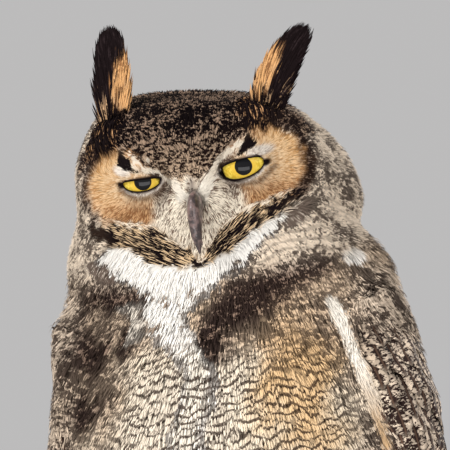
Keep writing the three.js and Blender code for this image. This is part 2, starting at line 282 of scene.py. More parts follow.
class Surface:
    """A skin that can be asked for its nearest point, its normal there and its place on the flat unwrap."""

    def __init__(self, points, triangles, normals, flat=None):
        self.points, self.triangles, self.normals, self.flat = points, triangles, normals, flat
        self.tree = BVHTree.FromPolygons(points.tolist(), triangles.tolist())

    def nearest(self, places):
        """The nearest points of the surface and their normals."""
        found = np.empty((len(places), 3))
        faces = np.empty(len(places), int)
        look = self.tree.find_nearest
        for i, place in enumerate(places.tolist()):
            at, _, face, _ = look(place)
            found[i] = at
            faces[i] = face
        return found, self.normal_at(found, faces), faces

    def weights(self, places, faces):
        """How much each corner of its triangle counts at a place."""
        a, b, c = (self.points[self.triangles[faces, k]] for k in range(3))
        whole = np.cross(b - a, c - a)
        area = np.maximum((whole * whole).sum(1), 1e-30)
        wb = (np.cross(places - a, c - a) * whole).sum(1) / area
        wc = (np.cross(b - a, places - a) * whole).sum(1) / area
        return np.clip(np.stack((1 - wb - wc, wb, wc), 1), 0, 1)

    def normal_at(self, places, faces):
        """The direction that the surface faces at places on these triangles."""
        w = self.weights(places, faces)
        return unit((self.normals[self.triangles[faces]] * w[:, :, None]).sum(1))


def depth_of(node):
    """How deep the coat is over a CAD node, in millimetres."""
    return next(depth for part, depth in COAT_DEPTH.items() if node.startswith(part))


# The dished face: an eye's socket sinks by DISH at DISH_REACH from it, and the disc's rim stands up.
DISH, DISH_REACH, DISH_SPREAD = 2.2, 19.0, 6.0
RIM, RIM_REACH, RIM_SPREAD = 1.6, 32.0, 5.0
BROW_LINE = ((4, -8), (16, 3), (30, 15), (40, 27))
BROW, BROW_SPREAD = 2.6, 4.5
MUZZLE, MUZZLE_AT, MUZZLE_SPREAD = 3.0, (9, -15), 8.0


def face_relief(h):
    """How far the face stands forward of a plain one, in millimetres, at places in the head's frame."""
    x, y, z = h.T
    relief = np.zeros(len(h))
    for eye in (-EYE_APART, EYE_APART):
        reach = np.hypot(x - eye, z)
        relief -= DISH * np.exp(-(((reach - DISH_REACH) / DISH_SPREAD) ** 2))
        relief += RIM * np.exp(-(((reach - RIM_REACH) / RIM_SPREAD) ** 2)) * smooth(12, 24, np.abs(x))
    away, _ = to_line(np.abs(x), z, BROW_LINE)
    relief += BROW * np.exp(-((away / BROW_SPREAD) ** 2))
    relief += MUZZLE * np.exp(-(np.hypot(np.abs(x) - MUZZLE_AT[0], z - MUZZLE_AT[1]) / MUZZLE_SPREAD) ** 2)
    return relief * smooth(-32, -46, y)


# One row for each eye: where the lids' corners are, out and in, how high the lids stand over the line between
# them, and how far they hang under it, in millimetres from the eye's middle.
LIDS = {
    "left": {"outer": (10.6, 0.6), "inner": (-13.0, -2.2), "over": 4.3, "under": 5.2},
    "right": {"outer": (11.8, -0.2), "inner": (-9.2, -0.4), "over": 1.3, "under": 4.6},
}
LID_RADIUS = EYE_RADIUS + 0.9
LID_INSIDE = EYE_RADIUS + 0.1
LID_CURVES = (0.62, 1.05)  # how full the upper and the lower lid's edges curve
LID_COLUMNS = 72
LID_ROUND, LID_FOOT = (15.4, 12.6), (20.5, 18.0)  # where the lids turn flat, and where they end under the skin
SOCKET = (17.5, 14.5)  # half the width and height of the hollow behind the lids


def lid_edge(side, turn):
    """The edge of the open eye, in millimetres from the eye's middle, out and up, at these turns round it."""
    lids = LIDS[side]
    outer, inner = np.array(lids["outer"]), np.array(lids["inner"])
    c, s = np.cos(turn), np.sin(turn)
    line = (outer + inner)[:, None] / 2 + (outer - inner)[:, None] / 2 * c
    upper = lids["over"] * np.abs(s) ** LID_CURVES[0]
    lower = lids["under"] * np.abs(s) ** LID_CURVES[1]
    line[1] += np.where(s > 0, upper, -lower)
    return line


def skin_front(tree, x, z):
    """How far back the skin lies, straight ahead of these places in the head's frame."""
    found = []
    for place in from_head(np.stack((x, np.full(len(x), -120.0), z), 1)):
        hit = tree.ray_cast(Vector(place), Vector(HEAD_AXES[:, 1]))[0]
        found.append(to_head([hit])[0][1] if hit else -40.0)
    return np.array(found)


def lid_shell(side, tree):
    """Both lids of an eye: a thin shell over the eyeball that runs out under the skin of the face."""
    turn = np.arange(LID_COLUMNS) * 2 * math.pi / LID_COLUMNS
    edge = lid_edge(side, turn)
    outwards = OUTWARDS[side]
    round_line, last_line = (np.stack((wide * np.cos(turn), high * np.sin(turn))) for wide, high in
                             (LID_ROUND, LID_FOOT))
    rings = []
    for radius, out in ((LID_INSIDE, 0.6), (LID_INSIDE, 0.0), (LID_RADIUS - 0.15, 0.02), (LID_RADIUS, 0.08)):
        flat = edge + (round_line - edge) * out
        rings.append((flat, -np.sqrt(radius**2 - (flat**2).sum(0))))
    for out in (0.22, 0.4, 0.6, 0.8, 1.0):
        flat = edge + (round_line - edge) * out
        crease = 0.35 * np.sin(out * 9.0) * np.sin(turn) ** 2
        flat_radius = np.minimum((flat**2).sum(0), LID_RADIUS**2 - 16)
        rings.append((flat, -np.sqrt(LID_RADIUS**2 - flat_radius) + crease))
    skin_y = skin_front(tree, outwards * last_line[0] + outwards * EYE_APART, last_line[1]) + EYE_FORWARD
    last_y = skin_y + 0.8
    near_y = rings[-1][1]
    for out in (0.35, 0.7, 1.0):
        flat = round_line + (last_line - round_line) * out
        rings.append((flat, near_y + (last_y - near_y) * out + 0.5 * math.sin(out * math.pi)))
    points = [from_head(np.stack((outwards * (flat[0] + EYE_APART), y - EYE_FORWARD, flat[1]), 1))
              for flat, y in rings]
    faces = []
    for start in range(0, (len(rings) - 1) * LID_COLUMNS, LID_COLUMNS):
        for c in range(LID_COLUMNS):
            d = (c + 1) % LID_COLUMNS
            quad = (start + c, start + d, start + LID_COLUMNS + d, start + LID_COLUMNS + c)
            faces.append(quad if outwards < 0 else quad[::-1])
    return np.concatenate(points), faces


def socket(h):
    """Sinks the skin of the face behind the lids, where they show: how far back it goes."""
    back = np.zeros(len(h))
    for outwards in OUTWARDS.values():
        out, up = outwards * h[:, 0] - EYE_APART, h[:, 2]
        reach = np.hypot(out / SOCKET[0], up / SOCKET[1])
        front = -EYE_FORWARD - np.sqrt(np.maximum(LID_RADIUS**2 - out**2 - up**2, 9.0))
        wanted = np.maximum(front + 2.0 - h[:, 1], 0)
        back = np.maximum(back, wanted * smooth(1.0, 0.8, reach))
    return back * smooth(-40, -48, h[:, 1])


def build_skin():
    """One closed skin over the whole owl, inside the coat, with the lids joined to it."""
    points, triangles, owners = join_copies(UNDER_COAT)
    cad = BVHTree.FromPolygons(points.tolist(), triangles.tolist())
    grown, grown_triangles, _ = join_copies(UNDER_COAT, SEAM_CLOSING)
    skin = new_piece("skin", grown, grown_triangles)
    with_modifier(skin, "REMESH", mode="VOXEL", voxel_size=SKIN_VOXEL)
    with_modifier(skin, "SMOOTH", factor=0.5, iterations=4)
    places = points_of(skin)
    depths = np.array([depth_of(node) for node in UNDER_COAT])
    # over the shoulders the wings melt into the neck
    shoulder = within(places[:, 2] / MM, *SHOULDERS) * smooth(36, 56, np.abs(places[:, 0]) / MM)
    places = blend(places, spread_over(skin, places, SHOULDER_ROUNDS), shoulder)
    set_points(skin, places)
    normals = normals_of(skin)
    nearest = np.array([owners[cad.find_nearest(p)[2]] for p in places.tolist()])
    depth = depths[nearest] + SEAM_CLOSING / MM
    h = to_head(places)
    front = smooth(-24, -40, h[:, 1]) * smooth(-44, -30, h[:, 2])
    depth = blend(depth, FACE_DEPTH, front)
    bx, _, bz = (places / MM).T
    sink = np.where(bx > 0, WING_TOP_SINK["left"], WING_TOP_SINK["right"])
    depth = depth + sink * within(bz, *SINK_HEIGHTS) * smooth(44, 64, np.abs(bx))
    for side, at in (("left", 66), ("right", -66)):
        temple = spot(h[:, 0], h[:, 2], (at, 24), (20, 22), 0, 0.8) * smooth(-44, -30, h[:, 1])
        depth = depth + TEMPLE_SINK[side] * temple
    depth = depth + NECK_SINK * within(bz, *CREASE_HEIGHTS) * smooth(56, 76, bx)
    sole = smooth(4, 2.5, places[:, 2] / MM) * smooth(-0.3, -0.7, normals[:, 2])
    depth = spread_over(skin, depth, 6)[:, 0] * (1 - sole)
    normals = unit(spread_over(skin, normals, 3))
    places = places - normals * depth[:, None] * MM
    # the wings' tops are evened out once more, and moved out again by what that takes off them
    level = normals * (1, 1, 0.01)
    evened = spread_over(skin, places, WING_TOP_ROUNDS) + unit(level) * EVENING_LOSS
    places = blend(places, evened, within(bz, *WING_TOPS) * smooth(46, 64, np.abs(bx)))
    forward = -HEAD_AXES[:, 1]
    places = places + forward * face_relief(to_head(places))[:, None] * MM
    places = places - forward * socket(to_head(places))[:, None] * MM
    places[:, 2] = np.maximum(places[:, 2], 0)
    set_points(skin, places)
    shaped = BVHTree.FromPolygons(places.tolist(), triangles_of(skin).tolist())
    for side in SIDES:
        lid_points, lid_faces = lid_shell(side, shaped)
        lids = new_piece(f"lids_{side}", lid_points, lid_faces)
        only(skin)
        lids.select_set(True)
        bpy.ops.object.join()
    return skin


def unwrap(piece):
    """Lays a piece's skin out flat as its OFBake map, and gives each point's place on it."""
    only(piece)
    bpy.ops.object.mode_set(mode="EDIT")
    bpy.ops.mesh.select_all(action="SELECT")
    bpy.ops.uv.smart_project(angle_limit=math.radians(66), island_margin=0.002)
    bpy.ops.object.mode_set(mode="OBJECT")
    piece.data.uv_layers[0].name = "OFBake"


def surface_of(piece):
    """The piece as a Surface, with the flat places of its triangles' corners."""
    triangles = triangles_of(piece)
    corners = np.empty(len(triangles) * 3, np.int32)
    piece.data.loop_triangles.foreach_get("loops", corners)
    flat = np.empty(len(piece.data.loops) * 2, np.float32)
    piece.data.uv_layers["OFBake"].data.foreach_get("uv", flat)
    flat = flat.reshape(-1, 2)[corners.reshape(-1, 3)]
    normals = unit(spread_over(piece, normals_of(piece), 2))
    return Surface(points_of(piece), triangles, normals, flat)


# ---------------------------------------------------------------- which way the plumage lies
BILL_ROOT = (0.0, -6.0)
FOOT_TOP = 26.0  # millimetres over the floor, where the toes leave the legs
FEET = {side: middle_of(f"leg_{side}") for side in SIDES}

# Where the plumage turns up into each ear tuft, in the head's frame, and the pale strip beside the left wing.
EAR_ROOTS = {"left": ((41, 23), (38, 34)), "right": ((-50, 17), (-45, 38))}
FLANK_STRIP = ((68, 338), (76, 321), (83, 304), (89, 285), (93, 262))
# The pale brow lines in the head's frame, x and z in millimetres, from the bill outwards.
BROWS = {
    "left": ((3, -12), (6, -8), (9, -3), (13, 3.5), (20, 9), (29, 13)),
    "right": ((-4, -12), (-7.5, -8.5), (-12, -4), (-17, 0.5), (-22, 5), (-32, 13)),
}
# The lower edge of the dark crown, from the head's right to its left.
CROWN_EDGE = ((-64, 8), (-52, 16), (-42, 19), (-32, 15), (-22, 7), (-16, 1), (-9, -2), (2, -3), (8, -1),
              (13, 5), (20, 11), (29, 15), (38, 20), (48, 20), (60, 10))
# The collar's upper and lower edges under the face, and the lower edge of the white band below it.
CHIN = -4.0
COLLAR_TOP = ((-66, -26), (-60, -20), (-52, -19.5), (-38, -23.8), (-28, -25.5), (-20, -28.8), (-9.5, -38.4),
              (-2, -45.5), (3, -39), (8, -33.3), (15.4, -27.8), (24, -23.8), (31, -22), (40, -20.5), (52, -17))
COLLAR_FOOT = ((-66, -41), (-61, -38.5), (-52.4, -34.4), (-39.7, -34.5), (-35, -39.5), (-30.7, -44),
               (-10, -48.5), (4, -46.5), (17, -40.5), (26, -34), (38.6, -29), (46, -27))
BAND_FOOT = ((-67, -42), (-54.4, -48), (-41.8, -55), (-28.5, -60), (-21.7, -63.5), (-8.6, -62.5), (6, -57.5),
             (21.3, -48.5), (29.3, -42), (42.4, -34), (49, -28))


def above_line(x, z, line):
    """How far above a line across the head a place lies, in millimetres."""
    return z - np.interp(x, *zip(*line))


def over_crown_edge(x, z):
    """How far above the crown's lower edge a place of the face lies, in millimetres."""
    return above_line(x, z, CROWN_EDGE)


def eye_gap(h):
    """Roughly how far places lie outside the nearer open eye, seen from in front, in millimetres."""
    nearest = np.full(len(h), 99.0)
    for side, outwards in OUTWARDS.items():
        lids = LIDS[side]
        outer, inner = np.array(lids["outer"]), np.array(lids["inner"])
        middle, half = (outer + inner) / 2, (outer - inner) / 2
        out, up = outwards * h[:, 0] - EYE_APART, h[:, 2]
        along = (out - middle[0]) / half[0]
        s = np.sqrt(np.clip(1 - along**2, 0, 1))
        line = middle[1] + half[1] * np.clip(along, -1, 1)
        gap = np.maximum(up - line - lids["over"] * s ** LID_CURVES[0],
                         line - lids["under"] * s ** LID_CURVES[1] - up)
        beyond = np.maximum(np.abs(along) - 1, 0) * abs(half[0])
        gap = np.where(beyond > 0, np.hypot(beyond, np.maximum(gap, 0)), gap)
        nearest = np.minimum(nearest, np.where(h[:, 1] < -36, gap, 99.0))
    return nearest


def lie(places, normals):
    """Unit vectors along the skin that the plumage follows there."""
    h = to_head(places)
    x, y, z = h.T
    side = np.sign(x)
    count = len(h)

    def direction(a, b, c):
        return unit(np.stack(np.broadcast_arrays(a, b, c, x)[:3], 1).astype(float))

    # the head, in its own frame
    turn_over = np.clip(-(y + 8) / 42, -1.2, 0.85)
    crown = direction(x / 90, np.full(count, 0.8), turn_over)
    cheek = direction(side * 0.2, 0.6, -0.8)
    high = smooth(2, 24, z - 0.25 * np.abs(x))
    head = unit(blend(cheek, crown, high))
    eye_x = side * EYE_APART
    from_eye = direction(x - eye_x, 0.35 * np.hypot(x - eye_x, z), z)
    from_bill = direction(x - BILL_ROOT[0], 4.0, z - BILL_ROOT[1])
    eye_gaps, bill_gap = np.hypot(x - eye_x, z), np.hypot(x, z - BILL_ROOT[1])
    by_eye = smooth(0.36, 0.62, bill_gap / (bill_gap + eye_gaps))
    disc = unit(blend(from_bill, from_eye, by_eye))
    face = unit(blend(disc, crown, smooth(-1, 2, over_crown_edge(x, z))))
    for line in BROWS.values():
        gap, _ = to_line(x, z, line)
        face = unit(blend(face, direction(side * 0.72, 0.45, 0.62), smooth(4.5, 2.0, gap)))
    ruff = direction(np.sign(x - CHIN) * 1.0, 0.3, 0.66)
    face = unit(blend(face, ruff, smooth(0.5, -1.5, above_line(x, z, COLLAR_TOP)) * smooth(64, 52, np.abs(x))))
    bib = direction(0.35 * x / 30, 0.25, -1.0)
    face = unit(blend(face, bib, smooth(1.5, -1.5, above_line(x, z, COLLAR_FOOT))))
    head = unit(blend(head, face, smooth(-26, -44, y) * smooth(70, 56, np.abs(x))))
    for line in EAR_ROOTS.values():
        gap, _ = to_line(x, z, line)
        upwards = direction((line[1][0] - line[0][0]) / 40, 0.1, 1.0)
        head = unit(blend(head, upwards, smooth(15, 7, gap) * smooth(-8, -24, y)))
    head = head @ HEAD_AXES.T

    # the body, in the scene's frame
    bx, by, bz = (places / MM).T
    body_side = np.sign(bx)
    body = direction(0.16 * bx / 80, 0.28 + 0 * by, -1.0)
    slant = smooth(50, 80, np.abs(bx)) * smooth(-80, -40, by) * smooth(370, 330, bz)
    wing = direction(0.12 * body_side, 0.45, -1.0)
    body = unit(blend(body, wing, slant))
    flank, _ = to_line(bx, bz, FLANK_STRIP)
    body = unit(blend(body, direction(0.42, 0.15, -1.0), smooth(8, 4, flank) * smooth(-10, -30, by)))
    behind = smooth(40, 75, by)
    body = unit(blend(body, direction(-0.15 * body_side, 0.35, -1.0), behind))
    for foot in FEET.values():
        fx, fy = bx - foot[0] / MM, by - foot[1] / MM
        near = smooth(FOOT_TOP, FOOT_TOP - 10, bz) * smooth(75, 65, np.hypot(fx, fy))
        body = unit(blend(body, direction(fx, fy, -3.0), near))
    on_head = smooth(-62, -44, z + 0.25 * np.maximum(y + 20, 0))
    mixed = blend(body, head, on_head)
    along = mixed - normals * (mixed * normals).sum(1)[:, None]
    return unit(along)




# ---------------------------------------------------------------- the colours of the plumage
PALE_BUFF = paint(240, 224, 202)
GREY_BUFF = paint(198, 180, 162)
WHITE = paint(255, 250, 242)
DARK_BROWN = paint(66, 48, 41)
SOOT = paint(24, 16, 17)
ORANGE = paint(234, 192, 148)
RUFOUS = paint(190, 138, 92)
GOLD = paint(236, 186, 118)
CREAM = paint(248, 238, 222)
LID_GREY = paint(240, 228, 214)


class Coat:
    """What the plumage looks like at a set of places: two colours and how they share the feathers."""

    def __init__(self, count):
        self.light = np.tile(GREY_BUFF, (count, 1))
        self.dark = np.tile(DARK_BROWN, (count, 1))
        self.share = np.full(count, 0.5)   # how much of it is dark
        self.streak = np.full(count, 0.5)  # 0 is blotched in space, 1 is by whole strands
        self.bars = np.zeros(count)        # how clear the dark bars are

    def lay(self, mask, light=None, dark=None, **marks):
        """Changes the coat where the mask is."""
        if light is not None:
            self.light = blend(self.light, light, mask)
        if dark is not None:
            self.dark = blend(self.dark, dark, mask)
        for key, value in marks.items():
            setattr(self, key, blend(getattr(self, key), value, mask))

    def strew(self, mask, light=None, dark=None, streak=0.8):
        """Feathers of another colour among the rest, as many of them as the mask says."""
        near = smooth(0.0, 0.15, mask)
        self.lay(near, light, dark, share=mask if light is None else 1 - mask, streak=streak)


def corner_mark(x, z, corners, edge=0.9):
    """A soft three-cornered mark. Its corners run clockwise."""
    inside = np.full(len(x), 99.0)
    for (ax, az), (bx, bz) in zip(corners, corners[1:] + corners[:1]):
        length = math.hypot(bx - ax, bz - az)
        inside = np.minimum(inside, ((x - ax) * (bz - az) - (z - az) * (bx - ax)) / length)
    return smooth(-edge, edge, inside)


# The marks of each side of the face, in the head's frame, x and z in millimetres. crease is the line of the
# painted shadow under each eye.
FACE_MARKS = {
    "left": {
        "spot": ((32.0, 17.2), (36.6, 10.2), (24.4, 5.6)),
        "lid": ((37.0, 6.8), (7.2, 2.8), 2),
        "crease": ((14, -2), (17, -6.5), (23, -9.4), (35, -9.2), (43, -3)),
        "rim": ((46, 22), (56, 16), (61, 3), (60.5, -10), (53, -19.5)),
        "bar": ((36, -26), (46, -22.5), (55, -18)),
        "bar_reach": 3.6,
    },
    "right": {
        "spot": ((-39.0, 19.0), (-28.5, 4.6), (-42.0, 9.5)),
        "lid": ((-38.5, 7.0), (5.8, 3.0), -10),
        "crease": ((-16, -3), (-20, -7.5), (-27, -9.3), (-34, -8.5), (-42, -3)),
        "rim": ((-54, 15), (-61, 6), (-64, -6), (-61, -18)),
        "bar": ((-60, -24.5), (-54, -27.5), (-46, -30.5)),
        "bar_reach": 5.6,
    },
}


def paint_head(coat, h):
    """The head's markings, in its own frame."""
    x, y, z = h.T
    stray = h + 1.5 * ripple(h * MM, 7, 31)[:, None] * np.array((0.8, 0, 1.0))
    rx, rz = stray[:, 0], stray[:, 2]
    front = smooth(-28, -40, y)
    on_head = smooth(-60, -46, z + 0.2 * np.maximum(y + 20, 0))
    patch = 0.2 * ripple(h * MM, 26, 37) + 0.14 * ripple(h * MM, 11, 39)
    coat.lay(on_head,
             light=paint(250, 230, 206), dark=paint(56, 41, 36), share=0.42 + 1.2 * patch,
             streak=0.2, bars=0.35)
    # the crown: dark and finely flecked, running down between the eyes in a V
    above = over_crown_edge(rx, rz)
    top = np.maximum(smooth(-1, 1.5, above) * front, smooth(12, 26, rz) * smooth(60, 48, np.abs(x)))
    coat.lay(top,
             light=paint(158, 132, 112), dark=paint(15, 8, 9), share=0.7 + 0.7 * patch, streak=0.1, bars=0.0)
    temple = smooth(44, 54, np.abs(x)) * smooth(4, 14, z) * smooth(-52, -40, y) * smooth(10, -10, y)
    coat.lay(temple, dark=paint(44, 32, 28), share=0.66 + patch)
    low = top * smooth(26, 0, z) * front
    coat.lay(low, light=paint(206, 178, 150), dark=paint(42, 28, 24), share=0.52)
    for line in EAR_ROOTS.values():
        gap, _ = to_line(rx, rz, line)
        coat.lay(smooth(13, 7, gap) * smooth(-8, -24, y), light=paint(198, 150, 106), dark=SOOT, share=0.78,
                 streak=0.85, bars=0.0)
    under_crown = smooth(1.0, -1.0, above) * front
    gap = eye_gap(h)
    for side, outwards in OUTWARDS.items():
        marks = FACE_MARKS[side]
        u, v, ru, rv = outwards * x, z, outwards * rx, rz
        here = under_crown * smooth(-2, 2, u)
        # the disc
        disc = spot(ru, rv, (36, -4), (25.5, 20.5), 0, 0.15) * here
        coat.lay(disc, light=ORANGE, dark=RUFOUS, share=0.42, streak=0.9, bars=0.0)
        coat.lay(spot(u, v, (47, 6), (12, 16), 0, 0.6) * disc * 0.7,
                 light=paint(238, 200, 150), dark=paint(222, 172, 112))
        coat.lay(spot(u, v, (36, -19), (24, 7.5), 0, 0.6) * disc * 0.85, light=paint(204, 156, 108),
                 dark=paint(142, 96, 62), share=0.52)
        coat.lay(spot(u, v, (28, 0), (19, 12), 0, 0.5) * disc * 0.7, light=paint(240, 216, 184),
                 dark=paint(222, 184, 144), share=0.4)
        # its dark rim
        rim, _ = to_line(rx, rz, marks["rim"])
        rim_dark = smooth(5.0, 1.2, rim) * front * (0.95 if outwards > 0 else 0.7)
        coat.lay(rim_dark,
                 light=paint(128, 104, 88), dark=paint(34, 24, 22), share=0.72, streak=0.6, bars=0.0)
        # the lores: pale bristles each side of the bill
        lores = np.maximum(spot(u, v, (12.5, -15), (12, 17), 24, 0.3),
                           spot(u, v, (7, -33), (8.5, 10), 0, 0.4)) * here
        coat.lay(lores,
                 light=paint(254, 240, 218), dark=paint(130, 108, 92), share=0.32, streak=0.95, bars=0.0)
        # painted shade under the inner corner of the eye
        coat.lay(spot(u, v, (18, -8), (4.5, 6.5), 30, 0.6) * here * 0.75, light=paint(176, 158, 140),
                 dark=paint(84, 70, 62), share=0.55)
        # under the brow a painted shadow, then the lids, and a painted shadow along the fold under them
        brow, where = to_line(rx, rz, BROWS[side])
        painted_brow_shadow = smooth(6, 3, gap) * smooth(27, 21, u) * smooth(-2, 1, v) * here
        coat.lay(painted_brow_shadow * 0.95, light=paint(150, 130, 112), dark=paint(50, 38, 34), share=0.72)
        painted_fold_shadow, _ = to_line(x, z, marks["crease"])
        coat.lay(smooth(3.4, 2.4, gap) * smooth(1, -1, z) * here,
                 light=LID_GREY, dark=paint(196, 178, 164), share=0.3)
        # painted shadow in the crease under the eye
        coat.lay(smooth(2.0, 0.7, painted_fold_shadow) * here * 0.65,
                 light=paint(112, 88, 70), dark=paint(74, 56, 46), share=0.5)
        middle, radii, tilt = marks["lid"]
        coat.lay(spot(x, z, middle, radii, tilt, 0.3) * front,
                 light=LID_GREY, dark=paint(204, 186, 172), share=0.25)
        over_lid = (smooth(9, 5, gap) * smooth(4, 8, u) * smooth(34, 28, u) * smooth(2.5, 4.5, gap)
                    * smooth(2, 4, v))
        coat.lay(over_lid * here * 0.8,
                 light=paint(222, 204, 182), dark=paint(122, 98, 82), share=0.45, bars=0.0)
        # the pale brow line, widest beside the bill, and the black mark over the eye
        by_bill = smooth(0.45, 0.1, where)
        coat.strew(smooth(0.8, -0.4, brow - 1.2 - 2.2 * by_bill) * front * (0.9 + 0.1 * by_bill),
                   light=blend(np.tile(paint(236, 222, 202), (len(x), 1)), CREAM, by_bill))
        coat.strew(corner_mark(rx * 0.3 + x * 0.7, rz * 0.3 + z * 0.7, marks["spot"]) * front, dark=SOOT)
        corner = np.array(LIDS[side]["outer"]) + np.array((EYE_APART + 1.2, -0.4))
        rim_black = np.maximum(smooth(1.7, 1.1, gap), spot(u, v, corner, (2.6, 1.8), 20, 0.4))
        coat.lay(rim_black * front, light=SOOT, dark=SOOT, share=1.0)
    ridge = spot(x, z, (-1.5, -7.5), (1.8, 5), 0, 0.4) * front
    coat.lay(ridge * 0.85, light=paint(160, 146, 136), dark=paint(84, 74, 70), share=0.5)


BAND_HANG = 2.0  # how far the white band's tufts hang below where they take their colour, in millimetres


def paint_throat(coat, h):
    """The white band under the face, drawn as a wide V in the head's frame."""
    x, y, z = h.T
    front = smooth(-20, -34, y)
    stray = 1.8 * ripple(h * MM, 6, 17)
    rx = x + stray * 0.5
    below = -above_line(rx, z + 0.6 * stray, COLLAR_FOOT)
    over = above_line(rx, z + 1.6 * stray - BAND_HANG, BAND_FOOT)
    mask = smooth(-0.8, 0.8, below) * smooth(-2.5, 3.0, over) * smooth(-68, -60, x) * smooth(50, 40, x) * front
    coat.lay(mask, bars=0.0)
    coat.strew(mask, light=WHITE)
    coat.lay(smooth(0.9, 1.0, mask), dark=PALE_BUFF)
    ends = spot(x, z, (50, -29), (6, 3), 24, 0.8) + spot(x, z, (-61, -46), (8, 4), -20, 0.8)
    ends = ends * front * (1 - mask)
    coat.strew(ends * 0.32, light=paint(222, 206, 188))
    coat.lay(smooth(0.1, 0.4, ends), dark=paint(92, 74, 65))


def paint_collar(coat, h):
    """The streaked collar between the discs and the white band, with its pale upper edge and its black ends."""
    x, y, z = h.T
    stray = 1.2 * ripple(h * MM, 5, 23)
    rx, rz = x + stray * 0.5, z + stray
    front = smooth(-20, -34, y)
    top, foot = above_line(rx, rz, COLLAR_TOP), above_line(rx, rz, COLLAR_FOOT)
    mask = smooth(0.4, -0.8, top) * smooth(-0.8, 0.8, foot) * smooth(-56, -46, x) * smooth(50, 38, x) * front
    coat.lay(mask, light=paint(222, 190, 150), dark=SOOT, share=0.68, streak=0.95, bars=0.0)
    coat.strew(spot(rx, rz, (CHIN + 0.5, -46), (5.5, 2.8), 0, 0.5) * front * 0.85, dark=SOOT)
    coat.lay(smooth(1.6, 0.6, np.abs(top - 0.4)) * smooth(54, 40, np.abs(x)) * front, light=PALE_BUFF,
             dark=paint(176, 146, 116), share=0.3, streak=0.9)
    for side in SIDES:
        bar, where = to_line(rx, rz, FACE_MARKS[side]["bar"])
        reach = FACE_MARKS[side]["bar_reach"]
        ragged = bar + 1.6 * ripple(h * MM, 4, 29) + 0.6 * reach * smooth(0.75, 1, where)
        coat.strew(smooth(reach + 1, reach - 2, ragged) * front * 0.85, dark=SOOT)
        coat.lay(smooth(reach - 1, reach - 3, ragged) * front, light=paint(120, 92, 70), share=0.86)


STRIP_PALE, STRIP_TAN, STRIP_HALF = paint(255, 246, 232), paint(206, 170, 128), 2.7


def paint_body(coat, places):
    """The body's markings, in the scene's frame in millimetres."""
    bx, by, bz = (places / MM).T
    stray = 5.0 * ripple(places, 26, 41) + 2.5 * ripple(places, 9, 43)
    rx, rz = bx + stray, bz + 0.7 * stray
    front = smooth(20, -20, by)
    coat.lay(np.ones(len(bx)),
             light=paint(255, 238, 212), dark=paint(60, 42, 34), share=0.03, streak=0.15, bars=0.9)
    coat.lay(spot(rx, rz, (-6, 262), (34, 60), 0, 0.6) * front, light=paint(252, 236, 214), share=0.12)
    # the breast above the bars: smoky, with buff between
    breast = smooth(296, 326, rz + 0.16 * rx)
    patch = 0.2 * ripple(places, 30, 45) + 0.12 * ripple(places, 12, 47)
    coat.lay(breast,
             light=paint(232, 204, 174), dark=paint(38, 26, 24), share=0.56 + 1.2 * patch,
             bars=0.6, streak=0.15)
    coat.lay(smooth(-28, -50, rx) * smooth(250, 285, rz) * front, light=paint(232, 206, 178),
             dark=paint(44, 30, 26), share=0.56 + patch, bars=0.5)
    for at, size, turn in (((-52, 350), (27, 10), -12), ((27, 338), (21, 14), 26), ((52, 355), (18, 9), 30),
                           ((-86, 330), (13, 24), 0), ((13, 316), (9, 15), 10), ((-66, 322), (10, 16), 20),
                           ((-36, 322), (9, 7), 0), ((-70, 290), (14, 10), 0)):
        blotch = spot(rx, rz, at, size, turn, 0.5) * front
        coat.lay(blotch * 0.9, light=paint(136, 110, 96), dark=paint(28, 18, 18), share=0.74, bars=0.15)
    # the white down the middle of the breast
    line = ((-9, 349), (-17, 333), (-12, 322), (0, 312), (7, 300), (6, 285), (2, 262))
    gap, where = to_line(bx + 0.5 * stray, bz, line)
    half = np.interp(where, (0, 0.2, 0.4, 0.6, 1), (12, 9, 5.5, 5, 7))
    mask = smooth(half + 4, half - 3, gap) * front
    coat.strew(mask * np.interp(where, (0.25, 0.6), (0.95, 0.85)), light=WHITE, streak=0.5)
    coat.lay(mask, bars=np.interp(where, (0.28, 0.55), (0.0, 0.95)))
    coat.lay(mask * np.interp(where, (0.35, 0.6), (0.8, 0.1)), dark=paint(172, 150, 130))
    coat.lay(mask * np.interp(where, (0.35, 0.6), (0, 1)), light=paint(250, 238, 220))
    wisps = spot(rx, rz, (-34, 334), (14, 4.5), -24, 0.6) * front
    coat.strew(wisps * 0.75, light=paint(240, 228, 212), streak=0.5)
    # gold on the flank
    coat.lay(spot(rx, rz, (57, 284), (17, 40), 8, 0.7) * front * 0.7, light=GOLD)
    # back and wings
    back = smooth(-10, 25, by + 0.45 * (np.abs(bx) - 80))
    coat.lay(back,
             light=paint(230, 204, 176), dark=paint(44, 28, 24), share=0.54 + 0.7 * patch,
             streak=0.25, bars=0.4)
    shoulder = smooth(70, 84, np.abs(bx)) * smooth(376, 352, bz) * smooth(-76, -56, by)
    coat.lay(shoulder, light=paint(238, 216, 192), dark=paint(46, 30, 26), share=0.52 + 1.3 * patch, bars=0.3)
    # painted shadow in the groove between the breast and the folded left wing, beside the pale strip
    beside = spot(bx + 5, bz, (80, 296), (7, 40), 18, 0.5) * smooth(-20, -36, by)
    coat.lay(beside * 0.6, dark=paint(44, 30, 26), share=0.62)
    strip, where = to_line(bx, bz, FLANK_STRIP)
    pale = blend(np.tile(STRIP_PALE, (len(bx), 1)), STRIP_TAN, smooth(0.35, 1, where))
    mask = smooth(STRIP_HALF + 1.2, STRIP_HALF - 0.4, strip + 1.2 * where) * smooth(-20, -36, by)
    coat.lay(mask, light=pale, dark=pale * 0.8, share=0.1, bars=0.0)
    coat.lay(spot(bx, bz, (76, 364.5), (4.2, 5.0), -20, 0.1) * smooth(0, -20, by),
             light=WHITE, share=0.0, bars=0.0)
    low_leg = smooth(120, 90, bz) * smooth(60, 40, by)
    coat.lay(low_leg, light=paint(238, 218, 192), dark=paint(128, 102, 80), share=0.22, bars=0.4)
    coat.lay(smooth(34, 24, bz), light=paint(232, 214, 190), dark=paint(150, 122, 98), share=0.22, bars=0.25)


BAR_RISE, BAR_REACH = 18.0, 50.0  # the bars rise towards the owl's left, most in its middle


